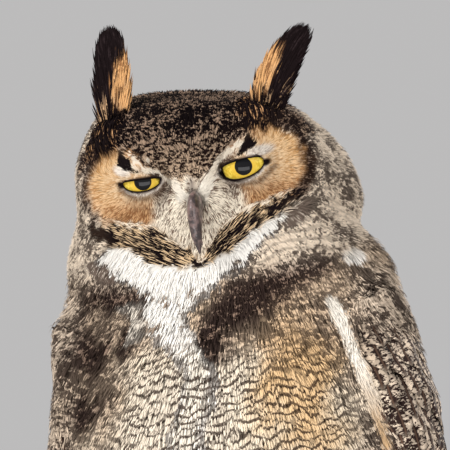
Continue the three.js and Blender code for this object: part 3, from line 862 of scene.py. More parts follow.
def bar_place(places):
    """How far down the body a place is, for the bars, in millimetres."""
    bx, _, bz = (places / MM).T
    return -bz + BAR_RISE * np.tanh(bx / BAR_REACH) + 3.2 * ripple(places, 60, 3) + 1.3 * ripple(places, 20, 5)


def coat_at(places):
    """The coat's look at these places."""
    coat = Coat(len(places))
    h = to_head(places)
    paint_body(coat, places)
    paint_head(coat, h)
    paint_throat(coat, h)
    paint_collar(coat, h)
    return coat


# ---------------------------------------------------------------- tufts of fine strands
BAKE_PATCH = 0.003
rng = np.random.default_rng(SEED)


def areas_of(corners):
    """How large the triangles with these corners are."""
    return np.linalg.norm(np.cross(corners[:, 1] - corners[:, 0], corners[:, 2] - corners[:, 0]), axis=1) / 2


def sow(skin, count, weight):
    """Roots scattered over the skin, as thick as weight(places, normals) says: places, normals, flat places."""
    corners = skin.points[skin.triangles]
    middles = corners.mean(1)
    chance = areas_of(corners) * weight(middles, unit(skin.normals[skin.triangles].mean(1)))
    cumulative = np.cumsum(chance)
    steps = (np.arange(count) + rng.uniform(0, 1, count)) / count * cumulative[-1]
    faces = np.searchsorted(cumulative, steps)
    a, b = rng.uniform(0, 1, (2, count))
    over = a + b > 1
    a, b = np.where(over, 1 - a, a), np.where(over, 1 - b, b)
    weights = np.stack((1 - a - b, a, b), 1)
    places = (corners[faces] * weights[:, :, None]).sum(1)
    flat = (skin.flat[faces] * weights[:, :, None]).sum(1)
    return places, skin.normal_at(places, faces), flat


def comb(skin, roots, normals, lengths, stations):
    """Lines from the roots that follow the lie of the plumage over the skin: their places and normals."""
    lines, ups = [roots], [normals]
    step = (lengths / (stations - 1))[:, None]
    for _ in range(stations - 1):
        along = lie(lines[-1], ups[-1])
        place, up, _ = skin.nearest(lines[-1] + along * step)
        lines.append(place)
        ups.append(up)
    return np.stack(lines, 1), np.stack(ups, 1)


TUFT_STRANDS = 5
STRAND_LEVELS = {"short": (0.5,), "long": (0.34, 0.72)}
STRAND_THICKNESS = 0.45  # as a share of a strand's half width
NO_FEATHER = (99.0, 0.5, 0.0)  # far from any shaft, and of middling tone


class Feathers:
    """Whole body feathers, each of them many tufts wide, that give the tufts their bars and shaft streaks."""

    def __init__(self, skin, spacing, weight, disorder):
        self.middles, normals, _ = sow_evenly(skin, spacing, weight)
        self.across = np.cross(lie(self.middles, normals), normals)
        self.chance = rng.uniform(0, 1, len(self.middles))
        self.shift = rng.uniform(-1, 1, len(self.middles)) * disorder
        self.tree = KDTree(len(self.middles))
        for number, middle in enumerate(self.middles):
            self.tree.insert(middle, number)
        self.tree.balance()

    def of(self, places):
        """The number of the feather that each place is part of."""
        return np.array([self.tree.find(place)[1] for place in places.tolist()])

    def marks(self, points, number):
        """How far along the bars the points are, and how far across their feather, in millimetres."""
        across = ((points - self.middles[number]) * self.across[number]).sum(-1) / MM
        down = bar_place(points.reshape(-1, 3)).reshape(across.shape)
        return down + self.shift[number] + 0.4 * np.abs(across), across


def strands(name, skin, count, weight, length, width, **settings):
    """A joined mesh of tufts that have their roots where weight says and follow the lie of the plumage."""
    roots, normals, flat = sow(skin, count, weight)
    lengths = length * rng.uniform(0.8, 1.15, count) * MM
    lines, ups = comb(skin, roots, normals, lengths, 4)
    return tufts_along(name, lines, ups, flat, length, width, **settings)


def tufts_along(name, lines, ups, flat, length, width, spread=1.6, kind="short", stand=(0.35, 1.0), depth=3.0,
                wander=0.16, repaint=None, feathers=None, rooted=0.0, likeness=0.3, roundness=0.5):
    """A joined mesh of tufts along these lines: each is a few slender closed strands from one root.

    length, width, spread and depth are in millimetres. stand is how high the tips stand, as a share of depth.
    rooted is how far a strand takes its colours from its root, likeness how far a tuft's strands differ, and
    roundness how far a strand's sides turn its shading away from the skin's own."""
    count = len(lines)
    forward = unit(np.diff(lines, axis=1))
    forward = np.concatenate((forward, forward[:, -1:]), 1)
    across = unit(np.cross(forward, ups))
    total = count * TUFT_STRANDS
    tuft = np.repeat(np.arange(count), TUFT_STRANDS)
    offset = rng.uniform(-1, 1, total) * spread * MM
    start = rng.uniform(0, 0.45, total)
    size = rng.uniform(0.75, 1.1, total)
    fan = offset * rng.uniform(0.1, 0.7, total) + rng.normal(0, wander, total) * length * MM * 0.35
    high = rng.uniform(*stand, total) * depth * MM
    wide = width * rng.uniform(0.75, 1.25, total) * MM
    tone = (rng.uniform(0, 1, count)[tuft] + likeness * rng.uniform(-0.5, 0.5, total)) % 1.0

    def at(t):
        """Where each strand's middle is at t of its length, with the directions there."""
        u = np.clip((start * 0.5 + size * t * 0.85), 0, 1) * (lines.shape[1] - 1)
        low = np.minimum(u.astype(int), lines.shape[1] - 2)
        share = (u - low)[:, None]
        place = lines[tuft, low] * (1 - share) + lines[tuft, low + 1] * share
        up = unit(ups[tuft, low] * (1 - share) + ups[tuft, low + 1] * share)
        side = across[tuft, low]
        lifted = high * np.sin(min(t, 1.0) * math.pi / 2) ** 1.2 - 0.3 * MM * (1 - t)
        return place + side * (offset + fan * t)[:, None] + up * lifted[:, None], side, up

    levels = STRAND_LEVELS[kind]
    place, side, up = at(0.0)
    rows, turns = [place[:, None]], [up[:, None]]
    for level in levels:
        place, side, up = at(level)
        half = (wide / 2 * math.sin(math.pi * (0.25 + 0.55 * level)))[:, None]
        rows.append(np.stack((place - side * half, place + side * half,
                              place + up * half * STRAND_THICKNESS), 1))
        turns.append(np.stack((up - side * roundness, up + side * roundness, up), 1))
    place, side, up = at(1.0)
    rows.append(place[:, None])
    turns.append(up[:, None])
    points, turns = np.concatenate(rows, 1), unit(np.concatenate(turns, 1))
    per = points.shape[1]
    faces, tip = [], per - 1
    first, last = 1, 1 + 3 * (len(levels) - 1)
    for k in range(3):
        n = (k + 1) % 3
        faces.append((0, first + k, first + n))
        for level in range(len(levels) - 1):
            a, b = first + 3 * level, first + 3 * (level + 1)
            faces.append((a + k, b + n, a + n))
            faces.append((a + k, b + k, b + n))
        faces.append((last + k, tip, last + n))
    faces = np.array(faces)
    share = np.concatenate(([0.0], np.repeat(levels, 3), [1.0]))
    slot_place = (np.tile(np.arange(TUFT_STRANDS), count) + 0.5) / TUFT_STRANDS
    sideways = np.concatenate(([0.0], np.tile((-1.0, 1.0, 0.0), len(levels)), [0.0])) * 0.4 / TUFT_STRANDS
    bake = np.empty((total, per, 2))
    bake[:, :, 0] = flat[tuft, 0][:, None] + (slot_place[:, None] + sideways - 0.5) * BAKE_PATCH
    bake[:, :, 1] = flat[tuft, 1][:, None] + (share - 0.5) * BAKE_PATCH
    local = np.tile(NO_FEATHER, (total, per, 1))
    down = None
    if feathers is not None:
        number = feathers.of(lines[:, 1])[tuft][:, None].repeat(per, 1)
        down, local[:, :, 0] = feathers.marks(points, number)
        local[:, :, 1] = feathers.chance[number]
    tuft_paint = None if repaint is None else lambda coat, shape, at: repaint(coat, tuft[shape], at)
    seen_at = points + (lines[tuft, :1] - points) * rooted
    return joined(name, points, faces, bake, share, tone, local, down, tuft_paint, turns, seen_at)


def joined(name, points, faces, bake, share, tone, local, down=None, repaint=None, turns=None, seen_at=None):
    """One mesh of many like shapes. points is shapes x points each; faces are one shape's own.

    repaint changes the coat's look, given the coat, the number of each point's shape and the points. turns are
    the directions that the points are shaded towards, and seen_at the places where they take their colours."""
    total, per = points.shape[:2]
    flat_points = points.reshape(-1, 3)
    index = (np.arange(total)[:, None, None] * per + faces[None]).reshape(-1, 3)
    mesh = bpy.data.meshes.new(name)
    mesh.vertices.add(len(flat_points))
    mesh.vertices.foreach_set("co", flat_points.astype(np.float32).ravel())
    mesh.loops.add(index.size)
    mesh.loops.foreach_set("vertex_index", index.astype(np.int32).ravel())
    mesh.polygons.add(len(index))
    mesh.polygons.foreach_set("loop_start", np.arange(0, index.size, 3, dtype=np.int32))
    mesh.polygons.foreach_set("use_smooth", np.ones(len(index), bool))
    flat_map = mesh.uv_layers.new(name="OFBake")
    flat_map.data.foreach_set("uv", bake.reshape(-1, 2)[index.ravel()].astype(np.float32).ravel())
    mesh.update(calc_edges=True)
    if turns is not None:
        give(mesh, "custom_normal", "FLOAT_VECTOR", turns.reshape(-1, 3))
    coat = coat_at(flat_points if seen_at is None else seen_at.reshape(-1, 3))
    if repaint is not None:
        repaint(coat, np.repeat(np.arange(total), per), flat_points)
    where = np.empty((total, per, 3))
    where[:, :, 0] = bar_place(flat_points).reshape(total, per) if down is None else down
    where[:, :, 1] = tone[:, None]
    where[:, :, 2] = share if np.ndim(share) > 1 else share[None]
    give_coat(mesh, coat, where.reshape(-1, 3))
    give(mesh, "local", "FLOAT_VECTOR", local.reshape(-1, 3))
    piece = bpy.data.objects.new(name, mesh)
    bpy.context.scene.collection.objects.link(piece)
    return piece


def give(mesh, name, kind, values):
    """Puts a colour or a vector at each of a mesh's points."""
    layer = mesh.attributes.new(name, kind, "POINT")
    layer.data.foreach_set("color" if kind == "FLOAT_COLOR" else "vector", values.astype(np.float32).ravel())


def give_coat(mesh, coat, where):
    """Puts a coat's look at a mesh's points. where is how far down the body, the tone and how near the tip."""
    for name, colour in (("light", coat.light), ("dark", coat.dark)):
        give(mesh, name, "FLOAT_COLOR", np.column_stack((colour, np.ones(len(colour)))))
    give(mesh, "marks", "FLOAT_VECTOR", np.stack((coat.share, coat.streak, coat.bars), 1))
    give(mesh, "where", "FLOAT_VECTOR", where)


# ---------------------------------------------------------------- where each kind of tuft grows
LID_REACH = 5.0  # how far round the open eyes the finest tufts grow, in millimetres


def head_share(h):
    """1 on the head and 0 on the body."""
    return smooth(-58, -46, h[:, 2] + 0.2 * np.maximum(h[:, 1] + 20, 0))


def bare_rims(h):
    """0 at the open eyes and their rims, and on the skin that the lids hide."""
    hidden = np.zeros(len(h))
    for side in (-1, 1):
        from_middle = np.linalg.norm(h - np.array((side * EYE_APART, -EYE_FORWARD, 0)), axis=1)
        hidden = np.maximum(hidden, from_middle < EYE_RADIUS)
    return (eye_gap(h) > 0.9) * (1 - hidden)


def face_share(h):
    """1 on the face below the crown, and above the collar."""
    x, y, z = h.T
    low = smooth(-1.0, 1.0, above_line(x, z, COLLAR_TOP))
    return smooth(-28, -40, y) * smooth(70, 64, np.abs(x)) * low * smooth(2.0, -1.0, over_crown_edge(x, z))


def throat_share(h):
    """1 on the collar and the white band."""
    x, y, z = h.T
    below = smooth(1.0, -1.0, above_line(x, z, COLLAR_TOP))
    return smooth(-10, -30, y) * below * smooth(-74, -66, z) * smooth(74, 66, np.abs(x))


def crown_share(h):
    """1 on the dark crown, and on its V between the eyes."""
    x, y, z = h.T
    over = smooth(-1.0, 1.0, over_crown_edge(x, z))
    return over * smooth(10, 22, z) * smooth(20, -10, y) + over * smooth(-28, -40, y) * smooth(14, 10, z)


def seen(h):
    """More tufts on the front of the head than behind."""
    return 0.4 + 0.6 * smooth(30, -20, h[:, 1])


TUFT_PLACES = {
    "lids": lambda p, n, h: bare_rims(h) * (eye_gap(h) < LID_REACH) * (over_crown_edge(h[:, 0], h[:, 2]) < 0),
    "face": lambda p, n, h: bare_rims(h) * face_share(h) * (0.3 + 0.7 * (eye_gap(h) > LID_REACH - 1.5)),
    "crown": lambda p, n, h: head_share(h) * crown_share(h) * seen(h) * bare_rims(h),
    "nape": lambda p, n, h: head_share(h) * seen(h) * np.clip(
        1 - face_share(h) - crown_share(h) - throat_share(h), 0, 1) * bare_rims(h),
    "throat": lambda p, n, h: throat_share(h) * (1 - face_share(h)),
    "breast": lambda p, n, h: (1 - head_share(h)) * smooth(248, 262, p[:, 2]) * smooth(45, 20, p[:, 1]),
    "belly": lambda p, n, h: smooth(264, 250, p[:, 2]) * smooth(60, 80, p[:, 2]) * smooth(60, 30, p[:, 1]),
    "legs": lambda p, n, h: smooth(18, 26, p[:, 2]) * smooth(100, 80, p[:, 2]) * smooth(60, 50, p[:, 1]),
    "toes": lambda p, n, h: smooth(34, 26, p[:, 2]) * smooth(1.0, 3.0, p[:, 2]) * smooth(-0.8, -0.2, n[:, 2]),
}


def growth(kind, only_where=None):
    """How thickly a kind of tuft grows at places on the skin."""
    def found(places, normals):
        weight = TUFT_PLACES[kind](places / MM, normals, to_head(places))
        return weight if only_where is None else weight * only_where
    return found


# ---------------------------------------------------------------- materials
def shader_of(name, roughness, specular=0.5, coat=0.0, coat_roughness=0.03):
    """A new material with one Principled shader: both of them."""
    material = bpy.data.materials.new(name)
    material.use_nodes = True
    shader = material.node_tree.nodes["Principled BSDF"]
    shader.inputs["Roughness"].default_value = roughness
    shader.inputs["Specular IOR Level"].default_value = specular
    shader.inputs["Coat Weight"].default_value = coat
    shader.inputs["Coat Roughness"].default_value = coat_roughness
    return material, shader


def new_group(name, inputs, outputs):
    """An empty shader node group with these sockets: name to kind and standing value."""
    group = bpy.data.node_groups.new(name, "ShaderNodeTree")
    for socket, (kind, value) in inputs.items():
        made = group.interface.new_socket(socket, in_out="INPUT", socket_type=f"NodeSocket{kind}")
        if value is not None:
            made.default_value = value
    for socket, kind in outputs.items():
        group.interface.new_socket(socket, in_out="OUTPUT", socket_type=f"NodeSocket{kind}")
    return group, group.nodes.new("NodeGroupInput"), group.nodes.new("NodeGroupOutput")


BUMP_DISTANCE = 0.0003


class Wiring:
    """Short ways to add nodes to one tree."""

    def __init__(self, tree):
        self.tree = tree

    def node(self, kind, **settings):
        made = self.tree.nodes.new(kind)
        for key, value in settings.items():
            setattr(made, key, value)
        return made

    def feed(self, socket, value):
        if isinstance(value, bpy.types.NodeSocket):
            self.tree.links.new(value, socket)
        else:
            socket.default_value = value

    def sum(self, operation, *values):
        made = self.node("ShaderNodeMath", operation=operation)
        for socket, value in zip(made.inputs, values):
            self.feed(socket, value)
        return made.outputs[0]

    def plus(self, a, b):
        return self.sum("ADD", a, b)

    def less(self, a, b):
        return self.sum("SUBTRACT", a, b)

    def times(self, a, b):
        return self.sum("MULTIPLY", a, b)

    def step(self, value, low, high):
        """0 below low and 1 above high."""
        made = self.node("ShaderNodeMapRange", interpolation_type="SMOOTHSTEP")
        for socket, given in zip(made.inputs, (value, low, high, 0.0, 1.0)):
            self.feed(socket, given)
        return made.outputs[0]

    def mix(self, share, a, b, blend_type="MIX"):
        made = self.node("ShaderNodeMix", data_type="RGBA", blend_type=blend_type)
        self.feed(made.inputs["Factor"], share)
        self.feed(made.inputs["A"], a)
        self.feed(made.inputs["B"], b)
        return next(s for s in made.outputs if s.type == "RGBA")

    def noise(self, place, scale, detail=2.0, roughness=0.55):
        made = self.node("ShaderNodeTexNoise")
        self.feed(made.inputs["Vector"], place)
        self.feed(made.inputs["Scale"], scale)
        self.feed(made.inputs["Detail"], detail)
        self.feed(made.inputs["Roughness"], roughness)
        return made.outputs["Fac"]

    def value_of(self, attribute, output="Vector"):
        return self.node("ShaderNodeAttribute", attribute_name=attribute).outputs[output]

    def parts(self, vector):
        made = self.node("ShaderNodeSeparateXYZ")
        self.feed(made.inputs[0], vector)
        return made.outputs

    def object_place(self):
        return self.node("ShaderNodeTexCoord").outputs["Object"]

    def roughen(self, shader, strength, height):
        """Turns a shader's normals by a height that changes over the surface."""
        made = self.node("ShaderNodeBump")
        for key, value in (("Strength", strength), ("Distance", BUMP_DISTANCE), ("Height", height)):
            self.feed(made.inputs[key], value)
        self.feed(shader.inputs["Normal"], made.outputs[0])


def rgba(colour, share=1.0):
    return (*[float(c) for c in np.asarray(colour) * share], 1.0)


def marking_group():
    """Shares out a feather's two colours: flecks, whole dark strands, wavy broken bars and a dark shaft, with
    painted shade that darkens each strand towards its root.
    """
    group, given, out = new_group(
        "Feather markings",
        {"Place": ("Vector", None), "Light": ("Color", None), "Dark": ("Color", None), "Share": ("Float", 0.5),
         "Streak": ("Float", 0.5), "Bars": ("Float", 0.0), "Down": ("Float", 0.0), "Strand": ("Float", 0.5),
         "Reach": ("Float", 0.5), "Across": ("Float", 99.0), "Feather": ("Float", 0.5),
         "Fleck scale": ("Float", 450.0), "Fleck width": ("Float", 1.0), "Bar pitch": ("Float", 4.8),
         "Painted root shadow": ("Float", 0.3), "Tone range": ("Float", 0.16), "Shaft": ("Float", 0.0)},
        {"Color": "Color"},
    )
    w = Wiring(group)
    i = given.outputs
    wide = w.node("ShaderNodeVectorMath", operation="MULTIPLY")
    w.feed(wide.inputs[0], i["Place"])
    w.feed(wide.inputs[1], combined(w, w.sum("DIVIDE", 1.0, i["Fleck width"]), (0, 1)))
    fleck = w.step(w.noise(wide.outputs[0], i["Fleck scale"], 2.0, 0.6), 0.32, 0.68)
    streaked = w.plus(w.times(fleck, w.less(1.0, i["Streak"])), w.times(i["Strand"], i["Streak"]))
    share = w.less(w.times(i["Share"], 1.24), 0.12)
    share = w.plus(share, w.times(w.less(i["Feather"], 0.5), 0.24))
    flecks = w.step(w.less(share, streaked), -0.1, 0.1)
    shaft_wave = w.times(w.noise(i["Place"], 300.0, 1.0), 2.4)
    shaft = w.step(w.plus(w.sum("ABSOLUTE", i["Across"]), shaft_wave), 2.9, 1.6)
    shaft = w.times(w.times(shaft, i["Shaft"]), w.step(i["Share"], 0.1, 0.3))
    swell = w.times(w.less(w.noise(i["Place"], 60.0, 2.0), 0.5), 1.2)
    stagger = w.times(w.less(i["Strand"], 0.5), 0.14)
    phase = w.plus(w.plus(w.sum("DIVIDE", i["Down"], i["Bar pitch"]), swell), stagger)
    swing = w.sum("SINE", w.times(phase, 2 * math.pi))
    broken = w.times(w.less(w.noise(i["Place"], 105.0, 2.0), 0.5), 2.6)
    bars = w.times(w.step(w.plus(swing, broken), 0.15, 0.8), i["Bars"])
    quiet = w.times(flecks, w.less(1.0, w.times(i["Bars"], 0.35)))
    dark = w.sum("MAXIMUM", w.sum("MAXIMUM", quiet, bars), shaft)
    colour = w.mix(dark, i["Light"], i["Dark"])
    chance = w.plus(w.times(i["Strand"], 0.6), w.times(i["Feather"], 0.4))
    tint = w.plus(1.0, w.times(w.less(chance, 0.6), i["Tone range"]))
    # painted shade: each strand is darker towards its root, where the plumage over it shades it
    root = w.less(1.0, w.times(w.less(1.0, i["Reach"]), i["Painted root shadow"]))
    w.feed(out.inputs["Color"], w.mix(1.0, colour, combined(w, w.times(tint, root)), "MULTIPLY"))
    return group


def combined(w, value, which=(0, 1, 2)):
    """A vector with this value in which of its parts, and one in the rest."""
    made = w.node("ShaderNodeCombineXYZ")
    for number, socket in enumerate(made.inputs):
        w.feed(socket, value if number in which else 1.0)
    return made.outputs[0]


MARKINGS = marking_group()


def feather_material(name, markings, roughness, specular, held, settings):
    """The coat's colours, held at the mesh's points, with a group's fine marks over them.

    held names the group's sockets that each of the mesh's attributes feeds, and settings the values that hold
    for the whole material. Gives the material, its shader, its wiring and the group's outputs."""
    material, shader = shader_of(name, roughness, specular)
    w = Wiring(material.node_tree)
    given = {"Place": w.object_place(), "Light": w.value_of("light", "Color"),
             "Dark": w.value_of("dark", "Color")}
    for attribute, sockets in held.items():
        given.update(zip(sockets, w.parts(w.value_of(attribute))))
    group = w.node("ShaderNodeGroup", node_tree=markings)
    for socket, value in (given | settings).items():
        w.feed(group.inputs[socket], value)
    w.feed(shader.inputs["Base Color"], group.outputs["Color"])
    return material, shader, w, group.outputs


PLUMAGE_HELD = {"marks": ("Share", "Streak", "Bars"), "where": ("Down", "Strand", "Reach"),
                "local": ("Across", "Feather")}


def plumage_material(name, fleck_scale=450.0, fleck_width=1.0, bar_pitch=4.8, painted_root_shadow=0.3, tone_range=0.16,
                     shaft=0.0):
    """The soft plumage."""
    settings = {"Fleck scale": fleck_scale, "Fleck width": fleck_width, "Bar pitch": bar_pitch,
                "Painted root shadow": painted_root_shadow, "Tone range": tone_range, "Shaft": shaft}
    return feather_material(name, MARKINGS, 0.85, 0.05, PLUMAGE_HELD, settings)[0]


def horn_material(name, dark, light, scale=260.0):
    """Horn with pale growth marks."""
    material, shader = shader_of(name, 0.34, 0.5, 0.25, 0.2)
    w = Wiring(material.node_tree)
    place = w.object_place()
    mottle = w.step(w.noise(place, scale, 4.0), 0.42, 0.66)
    w.feed(shader.inputs["Base Color"], w.mix(mottle, rgba(dark), rgba(light)))
    w.roughen(shader, 0.3, w.noise(place, scale * 3, 3.0))
    return material


def eye_material():
    """A yellow iris round a black pupil. The mesh carries how far each point is from the eye's axis."""
    material, shader = shader_of("eye", 0.05, 0.2)
    w = Wiring(material.node_tree)
    reach = w.parts(w.value_of("local"))[0]
    fibres = w.noise(w.object_place(), 700.0, 3.0)
    yellow = w.mix(w.step(fibres, 0.35, 0.65), rgba(paint(208, 172, 52)), rgba(paint(240, 212, 88)))
    yellow = w.mix(w.step(reach, 8.6, 5.2), yellow, rgba(paint(226, 186, 66)))
    dark_rim = w.step(reach, 11.2, 12.4)
    colour = w.mix(dark_rim, yellow, rgba(paint(30, 20, 12)))
    edge = w.plus(4.75, w.times(w.less(fibres, 0.5), 0.2))
    pupil = w.step(reach, w.plus(edge, 0.12), w.less(edge, 0.12))
    colour = w.mix(pupil, colour, rgba(paint(10, 10, 14)))
    w.feed(shader.inputs["Base Color"], colour)
    return material


# ---------------------------------------------------------------- eyes
def build_eye(side, material):
    """The eyeball: a sphere with its iris, set behind the lids."""
    bpy.ops.object.select_all(action="DESELECT")
    bpy.ops.mesh.primitive_uv_sphere_add(segments=64, ring_count=48, radius=EYE_RADIUS * 0.985 * MM)
    eye = bpy.context.object
    eye.name = f"eyeball_{side}"
    points = points_of(eye)
    axis = -HEAD_AXES[:, 1]
    # the pole of the sphere looks forward, and the cornea stands a little proud of the ball
    turn = np.stack((HEAD_AXES[:, 0], HEAD_AXES[:, 2], axis), 1)
    reach = np.hypot(points[:, 0], points[:, 1]) / MM
    ahead = points[:, 2] > 0
    cornea = np.where(ahead, 0.35 * smooth(8.5, 3, reach), 0)
    points[:, 2] += cornea * MM
    local = np.stack((np.where(ahead, reach, 20.0), points[:, 2] / MM, reach * 0), 1)
    set_points(eye, points @ turn.T + EYES[side])
    give(eye.data, "local", "FLOAT_VECTOR", local)
    bpy.ops.object.shade_smooth()
    eye.data.materials.clear()
    eye.data.materials.append(material)
    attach(eye, "root")
    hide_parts(f"eye_{side}")
    return eye


# ---------------------------------------------------------------- horn: bill and claws
# how much wider the upper bill is than its solid, by height in the head's frame in millimetres
BILL_WIDENING = ((-46, -42, -36, -28, -20, -12), (1.5, 1.9, 1.75, 1.4, 1.05, 0.9))
LOWER_BILL_SHIFT = (-1.2, 2.5, 1.0)  # the shut lower bill sits back under the upper one, in millimetres


def build_horn(node, name, voxel, material):
    """A smooth horn piece of the shape of its CAD node."""
    points, triangles = bare_copy(node)
    horn = new_piece(name, points, triangles)
    with_modifier(horn, "REMESH", mode="VOXEL", voxel_size=voxel * MM)
    with_modifier(horn, "SMOOTH", factor=0.5, iterations=5)
    only(horn)
    bpy.ops.object.shade_smooth()
    horn.data.materials.append(material)
    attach(horn, "root")
    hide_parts(node)
    return horn


# ---------------------------------------------------------------- feathers with a shaft and a flat vane
VANE_COLUMNS = np.array((-1.0, -0.55, 0.0, 0.55, 1.0))
VANE_THICKNESS = 0.45  # millimetres at the shaft
VANE_RAGGED, VANE_CUP = 0.05, 0.5  # how uneven a vane's edges are, and how far they hang below its shaft


def vane_shape(t, point=0.42):
    """How wide a vane is along its length, as a share of its full half width."""
    start = 0.35 + 0.65 * smooth(0, 0.4, t)
    end = np.sqrt(np.clip(1 - ((t - (1 - point)) / point) ** 2, 0, 1))
    return start * np.where(t > 1 - point, end, 1.0)


def vane_faces(rows):
    """Faces of one closed vane: a top sheet and an underside that share their edge."""
    columns = len(VANE_COLUMNS)
    top = np.arange(rows * columns).reshape(rows, columns)
    under = top.copy()
    inner = (rows - 2) * (columns - 2)
    under[1:-1, 1:-1] = rows * columns + np.arange(inner).reshape(rows - 2, columns - 2)
    faces = []
    for sheet, flip in ((top, False), (under, True)):
        a, b = sheet[:-1, :-1].ravel(), sheet[:-1, 1:].ravel()
        c, d = sheet[1:, 1:].ravel(), sheet[1:, :-1].ravel()
        for triangle in ((a, b, c), (a, c, d)):
            faces.append(np.stack(triangle[::-1] if flip else triangle, 1))
    return np.concatenate(faces), rows * columns + inner


def vanes(name, lines, ups, flat, width, skin=None, lift=(0.4, 2.4), stack=None, point=0.42, phase=None):
    """A joined mesh of feathers along these lines. width is each one's half width in millimetres."""
    count, rows = lines.shape[:2]
    t = np.linspace(0, 1, rows)
    forward = unit(np.gradient(lines, axis=1))
    across = unit(np.cross(forward, ups))
    half = width[:, None] * vane_shape(t, point)[None] * MM
    columns = len(VANE_COLUMNS)
    wobble = 1 + rng.normal(0, VANE_RAGGED, (count, rows, columns)) * (np.abs(VANE_COLUMNS) == 1)
    side = VANE_COLUMNS[None, None] * half[:, :, None] * wobble
    grid = lines[:, :, None] + across[:, :, None] * side[..., None]
    up = np.repeat(ups[:, :, None], columns, 2)
    if skin is not None:
        near, normal, _ = skin.nearest(grid.reshape(-1, 3))
        grid, up = near.reshape(grid.shape), normal.reshape(grid.shape)
        up = unit(up + ups[:, :, None])
    high = (lift[0] + (lift[1] - lift[0]) * t**0.8)[None] * np.ones((count, 1))
    if stack is not None:
        high = high + stack[:, None]
    droop = VANE_CUP * VANE_COLUMNS[None, None] ** 2 * np.minimum(half[:, :, None] / MM * 0.08, 1.0)
    grid = grid + up * (high[:, :, None] - droop)[..., None] * MM
    under = grid[:, 1:-1, 1:-1] - up[:, 1:-1, 1:-1] * VANE_THICKNESS * MM
    points = np.concatenate((grid.reshape(count, -1, 3), under.reshape(count, -1, 3)), 1)
    faces, per = vane_faces(rows)
    length = np.linalg.norm(np.diff(lines, axis=1), axis=2).sum(1) / MM
    from_tip = (1 - t)[None, :, None] * length[:, None, None] * np.ones((1, 1, columns))
    local = np.stack((side / MM, from_tip, np.broadcast_to(t[None, :, None], side.shape)), -1)
    local = np.concatenate((local.reshape(count, -1, 3), local[:, 1:-1, 1:-1].reshape(count, -1, 3)), 1)
    bake = np.empty((count, per, 2))
    reach = np.maximum(np.abs(local[:, :, 0]).max(1), 1e-6)[:, None]
    bake[:, :, 0] = flat[:, 0][:, None] + local[:, :, 0] / reach / 2 * BAKE_PATCH
    bake[:, :, 1] = flat[:, 1][:, None] + (local[:, :, 2] - 0.5) * BAKE_PATCH
    shift = rng.uniform(-1, 1, count) * 3 if phase is None else phase
    down = local[:, :, 1] + shift[:, None] + 0.25 * np.abs(local[:, :, 0])
    tone = rng.uniform(0, 1, count)
    return joined(name, points, faces, bake, local[:, :, 2], tone, local, down)


SOWING_TRIES = 14  # roots thrown for each one wanted
VANE_ROWS = 7


def sow_evenly(skin, spacing, weight):
    """Roots over the part of the skin where weight is 1, no two closer than the spacing in millimetres."""
    def wanted(places, normals):
        return (weight(places, normals) > 0.5).astype(float)

    corners = skin.points[skin.triangles]
    here = wanted(corners.mean(1), unit(skin.normals[skin.triangles].mean(1)))
    count = int((areas_of(corners) * here).sum() / (spacing * MM) ** 2 * SOWING_TRIES)
    places, normals, flat = sow(skin, count, wanted)
    order = rng.permutation(count)
    kept = []
    for i in order:
        if not kept or np.min(((places[kept] - places[i]) ** 2).sum(1)) > (spacing * MM) ** 2:
            kept.append(i)
    return places[kept], normals[kept], flat[kept]


def vane_cover(name, skin, spacing, weight, length, width, **settings):
    """Overlapping feathers over a part of the skin, following its lie."""
    roots, normals, flat = sow_evenly(skin, spacing, weight)
    count = len(roots)
    lengths = length * rng.uniform(0.88, 1.12, count) * MM
    lines, ups = comb(skin, roots, normals, lengths, VANE_ROWS)
    return vanes(name, lines, ups, flat, width * rng.uniform(0.9, 1.1, count), skin, **settings)


